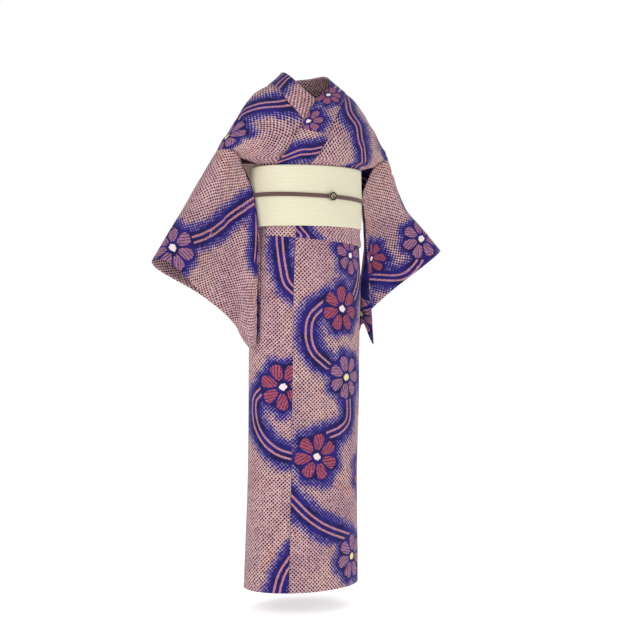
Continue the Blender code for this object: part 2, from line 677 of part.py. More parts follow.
def make_ornament(name, material):
    """A small round clasp on the cord, low and domed."""
    angle = -math.degrees(math.acos(ORNAMENT_SIDEWAYS / 0.158))
    left_share = 0.5 + 0.5 * math.cos(math.radians(angle))
    height = CORD_RIGHT + (CORD_LEFT - CORD_RIGHT) * left_share
    base = BELT_OFFSET + BELT_WALL + SEAM + CORD_DEPTH + SEAM
    seat = body_point(angle, -0.320, base + 0.0006)
    body = bmesh.new()
    profile = [(0.0, 0.0), (1.0, 0.0), (1.0, 0.30), (0.86, 0.62), (0.55, 0.90), (0.0, 1.0)]
    turns = 24
    rings = []
    for radius, rise in profile:
        if radius == 0.0:
            rings.append([body.verts.new((seat[0], seat[1] - rise * ORNAMENT_DEPTH, height))])
            continue
        ring = []
        for k in range(turns):
            turn = 2.0 * math.pi * k / turns
            x = seat[0] + radius * ORNAMENT_RADIUS * math.cos(turn)
            z = height + radius * ORNAMENT_RADIUS * math.sin(turn)
            ring.append(body.verts.new((x, seat[1] - rise * ORNAMENT_DEPTH, z)))
        rings.append(ring)
    for inner, outer in zip(rings, rings[1:]):
        for k in range(turns):
            after = (k + 1) % turns
            if len(inner) == 1:
                body.faces.new((inner[0], outer[k], outer[after]))
            elif len(outer) == 1:
                body.faces.new((inner[k], inner[after], outer[0]))
            else:
                body.faces.new((inner[k], inner[after], outer[after], outer[k]))
    bmesh.ops.recalc_face_normals(body, faces=body.faces)
    bmesh.ops.triangulate(body, faces=body.faces)
    mesh = bpy.data.meshes.new(name)
    body.to_mesh(mesh)
    body.free()
    mesh.materials.append(material)
    obj = bpy.data.objects.new(name, mesh)
    bpy.context.scene.collection.objects.link(obj)
    return obj


def main():
    clear_scene()
    cotton = cloth_material("dyed_cotton", (0.62, 0.36, 0.38), 0.9)
    belt = cloth_material("belt_weave", (0.84, 0.80, 0.62), 0.8)
    braid = cloth_material("cord_braid", (0.19, 0.11, 0.10), 0.8)
    bronze = cloth_material("ornament_bronze", (0.10, 0.08, 0.06), 0.4, 1.0)
    make_body_panel("body_left", 1, cotton)
    make_body_panel("body_right", -1, cotton)
    make_okumi("okumi_left", 1, cotton)
    make_okumi("okumi_right", -1, cotton)
    make_collar("collar", cotton)
    make_over_collar("over_collar", cotton)
    make_sleeve("sleeve_left", LEFT_SLEEVE, 1, cotton)
    make_sleeve("sleeve_right", RIGHT_SLEEVE, -1, cotton)
    make_belt("obi_wrap", belt)
    make_drum("obi_drum", belt)
    make_tail("obi_tail", belt)
    make_cord("obi_cord", braid)
    make_ornament("cord_ornament", bronze)


main()
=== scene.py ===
"""A dyed cotton yukata with its belt, dressed over its solids.

Metres, +Z up. The front faces -Y and the wearer's right is -X. The origin is the middle of the neck at the
height of the shoulders.
"""

import functools
import math

import bmesh
import bpy
import numpy as np
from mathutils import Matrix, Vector


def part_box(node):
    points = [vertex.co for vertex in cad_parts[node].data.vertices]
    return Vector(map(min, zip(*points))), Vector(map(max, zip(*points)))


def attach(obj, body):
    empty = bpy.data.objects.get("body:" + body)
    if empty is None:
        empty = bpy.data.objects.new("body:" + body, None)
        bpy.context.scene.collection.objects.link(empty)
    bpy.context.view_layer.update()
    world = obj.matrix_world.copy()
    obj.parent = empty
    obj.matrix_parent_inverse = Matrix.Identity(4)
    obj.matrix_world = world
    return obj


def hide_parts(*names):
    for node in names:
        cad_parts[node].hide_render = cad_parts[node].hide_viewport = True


bl_info = {
    "name": "Yukata with belt",
    "version": (1, 0, 0),
    "blender": (4, 5, 0),
    "location": "3D View > Sidebar > Yukata",
    "description": "Builds a resist-dyed cotton yukata with its woven belt, knot, cord and clasp",
    "category": "Add Mesh",
}

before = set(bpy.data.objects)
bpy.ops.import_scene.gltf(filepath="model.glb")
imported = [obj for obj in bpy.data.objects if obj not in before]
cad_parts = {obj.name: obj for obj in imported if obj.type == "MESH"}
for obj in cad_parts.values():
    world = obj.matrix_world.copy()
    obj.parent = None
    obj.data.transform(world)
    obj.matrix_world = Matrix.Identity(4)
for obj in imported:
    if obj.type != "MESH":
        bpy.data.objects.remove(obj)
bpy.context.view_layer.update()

# Cloth and seams
WALL = 0.0012             # yukata cloth, as one wall
COLLAR_WALL = 0.0030      # the collar is cloth folded round a core
COVER_WALL = 0.0010       # the over-collar
BELT_WALL = 0.0030        # the belt is woven double
SEAM = 0.0003             # clearance between neighbours at a seam
EDGE_GAP = SEAM + 0.6 * WALL  # from a body panel's edge to what is sewn to it
LAP = 0.0055              # how far the left front lies outside the right one
LAP_TUCK = 0.0070         # the same where both are tucked up under the belt
TUCK_STEP = 0.0022        # from one layer of the waist tuck to the next

# Heights, measured from the shoulders
HEM = -1.347
BELT_TOP = -0.234
BELT_BOTTOM = -0.392
TUCK_TOP = -0.372         # where the cord under the belt holds the tuck
TUCK_RIGHT = -0.416       # lower edge of the tuck at the wearer's right
TUCK_LEFT = -0.441        # and at the wearer's left
SLACK_TOP = -0.250        # the cloth is at its full offset from here down to the tuck
OKUMI_TIP = -0.2365       # top of the narrow front panels, just under the belt's upper edge
COLLAR_END = -0.330

# Angles round the body, in degrees: 0 is the wearer's left, -90 the front, 90 the back
SIDE_LEFT = -4.0
OKUMI_SEAM = -122.0       # seam between the left front and its narrow panel
OKUMI_EDGE = -190.0       # free edge of the left narrow panel on the skirt
OKUMI_EDGE_TUCK = -158.0  # free edge of the same panel where the tuck shows

# Body sections: height, half width, front, side and back depth, and shift to the wearer's left
BODY = (
    (0.010, 0.060, -0.030, 0.025, 0.080, 0.000),
    (-0.008, 0.100, -0.044, 0.030, 0.090, 0.000),
    (-0.022, 0.128, -0.061, 0.034, 0.098, 0.000),
    (-0.035, 0.148, -0.070, 0.036, 0.102, 0.000),
    (-0.050, 0.162, -0.077, 0.036, 0.105, 0.000),
    (-0.075, 0.182, -0.087, 0.036, 0.109, 0.000),
    (-0.108, 0.200, -0.096, 0.036, 0.113, 0.000),
    (-0.152, 0.223, -0.104, 0.037, 0.115, 0.000),
    (-0.194, 0.246, -0.109, 0.030, 0.114, 0.000),
    (-0.222, 0.215, -0.108, 0.012, 0.108, 0.000),
    (-0.230, 0.146, -0.104, 0.001, 0.102, 0.000),
    (-0.238, 0.140, -0.098, 0.000, 0.098, 0.000),
    (-0.300, 0.140, -0.098, 0.000, 0.098, 0.000),
    (-0.390, 0.140, -0.098, 0.000, 0.098, 0.000),
    (-0.440, 0.143, -0.101, 0.000, 0.101, -0.001),
    (-0.500, 0.149, -0.104, 0.001, 0.105, -0.003),
    (-0.700, 0.152, -0.104, 0.003, 0.108, -0.006),
    (-1.000, 0.151, -0.102, 0.005, 0.110, -0.009),
    (-1.347, 0.157, -0.103, 0.009, 0.120, -0.014),
)
CHEST_LOW = -0.222        # above this the sections are the chest's; just below, the belt draws them in

# Narrow front panels: width in degrees at a height, from the tip down to where the collar ends
OKUMI_WIDTH = ((-0.333, 13.5), (-0.297, 9.0), (-0.262, 4.5), (-0.240, 1.2), (OKUMI_TIP, 0.35))
COLLAR_GAP = 1.3          # degrees between the collar's edge and what is sewn to it, under the belt
SEAM_HALF = 0.08          # half the gap in degrees at a seam along the body
BELT_ROWS = (-0.2295, -0.240, -0.262, -0.297, -0.333, -0.356)
TUCK_EDGE_FROM = -0.362   # from here down through the tuck the free edge stays where the tuck shows it

# Left collar, from the back of the neck down to the belt: share of the lap, then the free edge and the
# seam edge, each as sideways, depth and height
COLLAR = (
    (0.5, 0.000, 0.084, 0.024, 0.000, 0.099, -0.031),
    (0.6, 0.043, 0.070, 0.029, 0.060, 0.089, -0.022),
    (0.8, 0.060, 0.020, 0.027, 0.098, 0.032, -0.007),
    (1.0, 0.052, -0.030, 0.004, 0.097, -0.028, -0.021),
    (1.0, 0.022, -0.066, -0.027, 0.075, -0.064, -0.050),
    (1.0, -0.015, -0.080, -0.056, 0.053, -0.082, -0.075),
    (1.0, -0.044, -0.090, -0.094, 0.030, -0.095, -0.108),
    (1.0, -0.073, -0.095, -0.139, 0.006, -0.104, -0.152),
    (1.0, -0.100, -0.094, -0.183, -0.018, -0.108, -0.195),
    (1.0, -0.124, -0.080, -0.234, -0.052, -0.106, -0.238),
    (1.0, -0.138, -0.046, -0.330, -0.098, -0.075, -0.330),
)
COVER_END = 7.0           # the over-collar ends at this row of the collar on both sides
CROSSING_SHIFT = -0.032   # the collars cross to the wearer's right of the middle

# Sleeves: share along the arm, then five points down the cloth, each as outward, back and height
RIGHT_SLEEVE = (
    (0.00, (0.247, 0.042, -0.194), (0.184, 0.016, -0.226), (0.174, -0.034, -0.395),
     (0.172, -0.036, -0.550), (0.176, -0.036, -0.702)),
    (0.25, (0.292, 0.048, -0.270), (0.230, 0.024, -0.342), (0.190, -0.012, -0.465),
     (0.176, -0.018, -0.585), (0.177, -0.026, -0.704)),
    (0.50, (0.336, 0.038, -0.341), (0.262, 0.022, -0.425), (0.203, 0.002, -0.535),
     (0.180, 0.000, -0.625), (0.177, -0.016, -0.706)),
    (0.75, (0.385, 0.021, -0.411), (0.298, 0.016, -0.485), (0.217, 0.012, -0.580),
     (0.183, 0.016, -0.650), (0.175, -0.005, -0.708)),
    (1.00, (0.434, 0.004, -0.483), (0.335, 0.006, -0.549), (0.232, 0.016, -0.622),
     (0.185, 0.030, -0.670), (0.172, 0.006, -0.709)),
)
LEFT_SLEEVE = (
    (0.00, (0.247, 0.042, -0.190), (0.186, 0.014, -0.226), (0.188, -0.022, -0.390),
     (0.196, -0.030, -0.550), (0.205, -0.035, -0.704)),
    (0.22, (0.287, 0.047, -0.258), (0.224, 0.024, -0.338), (0.188, -0.002, -0.450),
     (0.180, -0.008, -0.555), (0.180, -0.010, -0.650)),
    (0.45, (0.325, 0.042, -0.325), (0.252, 0.024, -0.395), (0.200, 0.012, -0.488),
     (0.178, 0.012, -0.572), (0.174, 0.006, -0.650)),
    (0.70, (0.372, 0.022, -0.378), (0.286, 0.016, -0.443), (0.212, 0.018, -0.530),
     (0.184, 0.022, -0.604), (0.174, 0.016, -0.664)),
    (1.00, (0.427, 0.004, -0.440), (0.325, 0.006, -0.515), (0.225, 0.018, -0.595),
     (0.190, 0.030, -0.637), (0.174, 0.024, -0.682)),
)
SLEEVE_WIDTH = 0.34       # cloth along the arm
SLEEVE_DEPTH = 0.55       # cloth from the fold over the arm to the bottom of the sleeve
ARM_ROOM = (0.056, 0.040)  # half the room for the arm, at the armhole and at the cuff
ROOM_FADE = (0.200, 0.210)  # depth below which the two sides of the sleeve lie together
SIDES_APART = 0.0035      # half the distance between them there
ARMHOLE_SEWN = 0.125      # cloth depth to which the sleeve is sewn to the body
CUFF_OPEN = 0.230         # cloth depth of the cuff opening; it is sewn shut below

# Belt, knot and cord
BELT_OFFSET = 0.0132      # inside of the belt, from the body section
DRUM_HALF_WIDTH = 0.142
DRUM = (
    (0.138, -0.176), (0.164, -0.166), (0.187, -0.184), (0.198, -0.240), (0.200, -0.320),
    (0.196, -0.385), (0.180, -0.412), (0.148, -0.412), (0.1228, -0.388), (0.1188, -0.320),
    (0.1192, -0.250), (0.1248, -0.202),
)
TAIL_BEHIND = 0.1162      # depth of the belt's end, between the belt and the knot
TAIL_DROP = 0.085         # how far the belt's end hangs below the knot
CORD_HEIGHT = 0.0110
CORD_DEPTH = 0.0050
CORD_RIGHT = -0.309       # height of the cord at the wearer's right
CORD_LEFT = -0.318        # and at the wearer's left
CORD_BEHIND = 0.1300      # depth at which the cord runs through the knot
CORD_SQUARE = 0.2         # power that squares its way round behind
ORNAMENT_RADIUS = 0.0115

# Mesh density
ACROSS_PANEL = 9
ACROSS_OKUMI = 4
ACROSS_COLLAR = 4
COLLAR_STEPS = 20         # rows of the collar on each side
ROWS_SKIRT = 8
FOLD_TURN = 12            # the row of a panel where the tuck turns down again under the belt
ROWS_CHEST = 13           # half rows of the collar, from 8.5 up to 2.0
ROWS_NAPE = 9             # of these, the ones below the collar behind
RINGS_SLEEVE = 12


def cubic(u, width, start, end, start_slope, end_slope):
    """Cubic between two points with a slope at each, at a share u of the width between them."""
    return ((1 + 2 * u) * (1 - u) ** 2 * start + u * (1 - u) ** 2 * width * start_slope
            + u * u * (3 - 2 * u) * end + u * u * (u - 1) * width * end_slope)


def smooth_column(knots, values, at):
    """Cubic through the knots that never overshoots between them."""
    knots = np.asarray(knots, float)
    values = np.asarray(values, float)
    widths = np.diff(knots)
    slopes = np.diff(values) / widths
    tangents = np.zeros(len(knots))
    tangents[0] = slopes[0]
    tangents[-1] = slopes[-1]
    for i in range(1, len(knots) - 1):
        if slopes[i - 1] * slopes[i] > 0.0:
            before = 2.0 * widths[i] + widths[i - 1]
            after = widths[i] + 2.0 * widths[i - 1]
            tangents[i] = (before + after) / (before / slopes[i - 1] + after / slopes[i])
    at = min(max(at, knots[0]), knots[-1])
    i = min(int(np.searchsorted(knots, at, side="right")) - 1, len(widths) - 1)
    u = (at - knots[i]) / widths[i]
    return cubic(u, widths[i], values[i], values[i + 1], tangents[i], tangents[i + 1])


def curve_through(knots, points, at):
    """Smooth curve through points, one column at a time, with slopes taken from both neighbours."""
    knots = np.asarray(knots, float)
    points = np.asarray(points, float)
    tangents = np.gradient(points, knots, axis=0)
    at = min(max(at, knots[0]), knots[-1])
    i = min(int(np.searchsorted(knots, at, side="right")) - 1, len(knots) - 2)
    width = knots[i + 1] - knots[i]
    u = (at - knots[i]) / width
    return cubic(u, width, points[i], points[i + 1], tangents[i], tangents[i + 1])


def ramp(value, start, end):
    """0 before start, 1 after end, smooth between."""
    u = min(max((value - start) / (end - start), 0.0), 1.0)
    return u * u * (3.0 - 2.0 * u)


def body_section(height):
    """The five numbers of the body at a height: half width, front, side and back depth, and shift."""
    rising = sorted(BODY)
    knots = [row[0] for row in rising]
    return [smooth_column(knots, [row[i] for row in rising], height) for i in range(1, 6)]


def body_point(angle, height, offset, lowest=HEM):
    """A point of the worn form, moved outwards by an offset; below lowest the form goes on as it is there."""
    half_width, front, side, back, shift = body_section(max(height, lowest))
    cosine = math.cos(math.radians(angle))
    sine = math.sin(math.radians(angle))
    depth = (side - front) if sine < 0.0 else (back - side)
    return np.array((shift + (half_width + offset) * cosine, side + (depth + offset) * sine, height))


def tuck_bottom(angle):
    """Lower edge of the waist tuck, which slopes down from the wearer's right to the left."""
    left_share = 0.5 + 0.5 * math.cos(math.radians(angle))
    return TUCK_RIGHT + (TUCK_LEFT - TUCK_RIGHT) * left_share


def lap_at(height):
    """Distance between the two fronts, larger where both are tucked."""
    return LAP + (LAP_TUCK - LAP) * ramp(-height, 0.28, 0.36) * (1.0 - ramp(-height, 0.44, 0.56))


def lap_share(angle):
    """1 for the left front, 0 for the right one, changing over across the back."""
    return 1.0 - ramp(angle, 0.0, 180.0)


def slack_at(height):
    """How far the outer layer stands out under the belt, where it comes down over the tuck."""
    return 2.0 * TUCK_STEP * ramp(-height, -SLACK_TOP, 0.350)


def fold_rows(angle):
    """One column of cloth from the belt down: height and offset of each row, through the tuck to the hem."""
    bottom = tuck_bottom(angle)
    outer, middle = 2.0 * TUCK_STEP, TUCK_STEP
    half = 0.5 * TUCK_STEP
    rows = [(height, slack_at(height)) for height in BELT_ROWS]
    rows += [(bottom + 0.022, outer), (bottom + half, outer), (bottom, middle + half), (bottom + half, middle)]
    rows += [(bottom + 0.022, middle), (TUCK_TOP - half, middle), (TUCK_TOP, half), (TUCK_TOP - half, 0.0)]
    start = bottom + 0.012
    rows += [(start + (HEM - start) * (i / ROWS_SKIRT) ** 1.2, 0.0) for i in range(ROWS_SKIRT + 1)]
    return rows


@functools.lru_cache(maxsize=None)
def collar_line(side):
    """Heights of the collar's seam edge under the belt, rising, and its angles as on the wearer's left."""
    line = []
    for step in range(6):
        row = 10.0 - 0.5 * step
        seam = collar_point(row, side, 1.0)
        half_width, front, middle, back, shift = body_section(seam[2])
        offset = (lap_at(seam[2]) if side > 0 else 0.0) + slack_at(seam[2])
        line.append((seam[2], -math.degrees(math.acos(side * (seam[0] - shift) / (half_width + offset)))))
    return line


def front_edges(height, side, skirt):
    """Angles of a narrow front panel's free edge and of its seam at a height, as on the wearer's left."""
    line = collar_line(side)
    ended = (COLLAR_END - 0.003, line[0][1])
    edge = [(-1.0, OKUMI_EDGE_TUCK), (TUCK_EDGE_FROM, OKUMI_EDGE_TUCK), ended] + list(line)
    collar = smooth_column([e[0] for e in edge], [e[1] for e in edge], height)
    free = collar + COLLAR_GAP * (1.0 - ramp(-height, -COLLAR_END, -TUCK_EDGE_FROM))
    width = 0.0
    if height <= OKUMI_TIP:
        width = smooth_column([e[0] for e in OKUMI_WIDTH], [e[1] for e in OKUMI_WIDTH], height)
    seam = free + width
    seam = seam + (OKUMI_SEAM - seam) * ramp(-height, -COLLAR_END + 0.003, -TUCK_EDGE_FROM)
    if skirt:
        free = free + (OKUMI_EDGE - free) * ramp(-height, -TUCK_TOP, 0.46)
    return free, seam


def sleeve_middle(table, along, down):
    """The surface midway between a sleeve's two sides."""
    stations = (0.0, 0.25, 0.5, 0.75, 1.0)
    shares = [row[0] for row in table]
    column = [curve_through(shares, [row[1 + i] for row in table], along) for i in range(len(stations))]
    if along < 0.0:
        slope = [(np.array(table[1][1 + i]) - np.array(table[0][1 + i])) / table[1][0] for i in range(len(stations))]
        column = [point + along * step for point, step in zip(column, slope)]
    return curve_through(stations, column, down)


def sleeve_room(along, down):
    """Half the distance between a sleeve's two sides: round over the arm, closing below it."""
    share = min(max(along, 0.0), 1.0)
    room = ARM_ROOM[0] + (ARM_ROOM[1] - ARM_ROOM[0]) * share
    fade = ROOM_FADE[0] + (ROOM_FADE[1] - ROOM_FADE[0]) * share
    depth = down * SLEEVE_DEPTH
    if depth < room:
        return room * math.sqrt(max(depth * (2.0 * room - depth), 0.0)) / room
    return SIDES_APART + (room - SIDES_APART) * (1.0 - ramp(depth, room, fade))


def sleeve_point(table, along, down, face):
    """A point of a sleeve's cloth; face is -1 on the front side and 1 on the back."""
    step = 0.004
    low, high = max(down - step, 0.0), min(down + step, 1.0)
    before, after = min(along, 1.0) - step, min(along + step, 1.0)
    side_step = sleeve_middle(table, after, down) - sleeve_middle(table, before, down)
    down_step = sleeve_middle(table, along, high) - sleeve_middle(table, along, low)
    normal = np.cross(side_step, down_step)
    normal = normal / np.linalg.norm(normal)
    return sleeve_middle(table, along, down) + face * normal * sleeve_room(along, down)


def mirrored(point):
    """The same point on the other side of the wearer."""
    return np.array((-point[0], point[1], point[2]))


def front_point(sideways, height, share):
    """The point of the front at a place seen from the front; share 1 is the left front and 0 the right."""
    half_width, front, side, back, shift = body_section(height)
    offset = share * lap_at(height) + slack_at(height)
    cosine = min(max((sideways - shift) / (half_width + offset), -1.0), 1.0)
    return body_point(-math.degrees(math.acos(cosine)), height, offset)


def collar_point(row, side, across):
    """A point of the collar: row down from the nape, across 0 at the free edge and 1 at the seam edge."""
    knots = list(range(len(COLLAR)))
    share, *numbers = curve_through(knots, [list(entry) for entry in COLLAR], row)
    free, seam = np.array(numbers[:3]), np.array(numbers[3:])
    point = free + (seam - free) * across
    if side < 0:
        share = 1.0 - share
        shift = CROSSING_SHIFT * ramp(row, 2.0, 5.0) * (1.0 - ramp(row, 8.0, 10.0))
        point = mirrored(point) + np.array((shift, 0.0, 0.0))
    outward = np.array((0.0, -1.0, 0.0)) * ramp(row, 1.0, 4.0)
    outward = outward + np.array((0.0, 1.0, 0.0)) * (1.0 - ramp(row, 0.0, 2.0))
    point = point + outward * share * LAP
    on_body = ramp(row, 3.0, 5.0)
    return point + (front_point(point[0], point[2], share) - point) * on_body


def grid_normals(rows):
    """The normal at each point of a grid."""
    points = np.asarray(rows, float)
    normals = np.cross(np.gradient(points, axis=0), np.gradient(points, axis=1))
    return normals / np.maximum(np.linalg.norm(normals, axis=2, keepdims=True), 1e-12)


def seam_share(step):
    """Share of the sewn armhole at a row of the chest, 1 at the belt and 0 on the shoulder."""
    return 1.0 - ramp(step / ROWS_CHEST, 0.0, 1.0) ** 0.9


def armhole_point(table, side, share, face):
    """The body's edge at the armhole, share 0 at the shoulder and 1 where the cloth goes under the belt."""
    point = sleeve_point(table, -EDGE_GAP / SLEEVE_WIDTH, share * ARMHOLE_SEWN / SLEEVE_DEPTH, face)
    return point if side > 0 else mirrored(point)


def chest_rows(side, face):
    """Rows of a body panel between the belt and the shoulder, in front (face -1) or behind (face 1)."""
    table = LEFT_SLEEVE if side > 0 else RIGHT_SLEEVE
    front = face < 0
    rows = []
    for i in range(ROWS_CHEST + 1):
        outer = armhole_point(table, side, seam_share(i), face)
        row_of_collar = 8.5 - 0.5 * i if front else 0.5 * (i - ROWS_NAPE)
        if row_of_collar >= 0.0:
            seam = collar_point(row_of_collar, side, 1.0)
            across = seam - collar_point(row_of_collar, side, 0.9)
            inner = seam + across / np.linalg.norm(across) * EDGE_GAP
            inner[0] += side * (0.5 * SEAM + 0.0002) * (row_of_collar == 0.0)
        else:
            height = COLLAR[0][6] + (CHEST_LOW - COLLAR[0][6]) * (1.0 - i / ROWS_NAPE)
            inner = body_point(90.0 - side * 0.2, height, 0.5 * LAP, CHEST_LOW)
        rows.append(patch_row(inner, outer, side, front))
    return rows


def patch_row(inner, outer, side, front):
    """Points from an inner to an outer edge that follow the body's form between them."""
    def angle_of(point):
        half_width, near, middle, far, shift = body_section(max(point[2], CHEST_LOW))
        cosine = min(max((point[0] - shift) / (half_width + 0.004), -1.0), 1.0)
        return -math.degrees(math.acos(cosine)) if front else math.degrees(math.acos(cosine))

    start, end = angle_of(inner), angle_of(outer)
    points = []
    for i in range(ACROSS_PANEL + 1):
        w = i / ACROSS_PANEL
        offset = LAP * (1.0 - w ** 3) if side > 0 else 0.0
        base = body_point(start + (end - start) * w, inner[2] + (outer[2] - inner[2]) * w, offset, CHEST_LOW)
        from_inner = inner - body_point(start, inner[2], LAP if side > 0 else 0.0, CHEST_LOW)
        from_outer = outer - body_point(end, outer[2], 0.0, CHEST_LOW)
        points.append(base + from_inner * (1.0 - w) ** 2 + from_outer * w ** (3 if side > 0 else 2))
    return points


def panel_columns(side, face):
    """Angles of a body panel's columns, from its inner edge to the side seam, at a height."""
    def columns(height, skirt):
        if face < 0:
            inner = front_edges(height, side, skirt)[1] + SEAM_HALF
            outer = SIDE_LEFT - SEAM_HALF
        else:
            inner = 90.0 - SEAM_HALF
            outer = SIDE_LEFT + SEAM_HALF
        angles = [inner + (outer - inner) * i / ACROSS_PANEL for i in range(ACROSS_PANEL + 1)]
        return angles if side > 0 else [180.0 - angle for angle in angles]
    return columns


def offset_of(angle, height, side, face):
    """How far a body panel stands out from the form for the lap."""
    share = (1.0 if side > 0 else 0.0) if face < 0 else lap_share(angle)
    return share * lap_at(height)


def lower_rows(side, face):
    """Rows of a body panel from the belt down, through the waist tuck to the hem."""
    columns = panel_columns(side, face)
    count = len(fold_rows(0.0))
    rows = []
    for i in range(count):
        skirt = i > FOLD_TURN
        points = []
        for j in range(ACROSS_PANEL + 1):
            nearly = columns(fold_rows(0.0)[i][0], skirt)[j]
            height, offset = fold_rows(nearly)[i]
            angle = columns(height, skirt)[j]
            points.append(body_point(angle, height, offset + offset_of(angle, height, side, face)))
        rows.append(points)
    return rows


def collar_grid():
    """Points across the collar, from its left end round the back of the neck to its right end."""
    rows = []
    for side, steps in ((1, range(COLLAR_STEPS, -1, -1)), (-1, range(1, COLLAR_STEPS + 1))):
        for step in steps:
            row = 10.0 * step / COLLAR_STEPS
            rows.append([collar_point(row, side, j / ACROSS_COLLAR) for j in range(ACROSS_COLLAR + 1)])
    return np.array(rows)


# Each piece's cut as far as it shows: width and length
CUTS = {
    "body_left": (0.29, 2.75), "body_right": (0.29, 2.75), "okumi_left": (0.15, 1.10), "okumi_right": (0.15, 1.10),
    "collar": (0.08, 0.95), "over_collar": (0.08, 0.56), "sleeve_left": (0.25, 0.85), "sleeve_right": (0.25, 0.85),
    "obi_wrap": (0.158, 0.86), "obi_drum": (0.284, 0.58), "obi_tail": (0.276, 0.137),
}

# How far each side's free edge is drawn in towards the belt (1 is the wearer's left), how far up the arm that
# reaches, and the height from which it starts and over which it grows
SLEEVE_DRAWN_IN = {1: 0.018, -1: 0.011}
DRAWN_REACH = 0.10
DRAWN_FROM = -0.245
DRAWN_OVER = 0.060

# The pattern and the weaves, in metres
DOT_PITCH = 0.0071
DOT_JITTER = 0.14         # how much of a pitch a dot's place varies
DIAGONAL = 0.7071         # turns the dots' lattice by 45 degrees
PETALS = 7
BAND_HALF = 0.0215        # half the width of the dye round a stem
STEM_LINE = 0.0078        # from the middle of a stem to each of its two lines
RIB_PITCH = 0.0034
RIB_LENGTH = 0.0086
PLAIT_PITCH = 0.0042
CORD_ROWS, CORD_SIDES = 260, 14
WAIST_LEVEL = -0.320      # height whose body section the belt and the cord follow

# The camera: its turn round the wearer, its distance, and what it looks at
CAMERA_TURN = math.radians(28.0)
CAMERA_DISTANCE = 3.2
CAMERA_HEIGHT = -0.6375
CAMERA_ASIDE = 0.035
LENS, SENSOR = 66.66, 36.0    # millimetres
FLOOR_RADIUS = 14.0
FLOOR_BELOW_HEM = 0.060
FLOOR_GREY = 0.93
FLOOR_GLOW = 0.56
WHITE = (1.0, 1.0, 1.0, 1.0)
ROOM_LIGHT = 0.50         # strength of the room's light on the cloth
# Lamps: name, place to the camera's right, towards it and up from the origin, size, and power
LAMPS = (
    ("key", (-2.2, 2.6, 1.6), 2.2, 41.0), ("fill", (2.6, 2.2, 0.4), 2.6, 16.0),
    ("rim", (1.6, -2.4, 1.4), 1.8, 26.0), ("low", (-0.6, 2.6, -1.0), 2.0, 5.0),
)

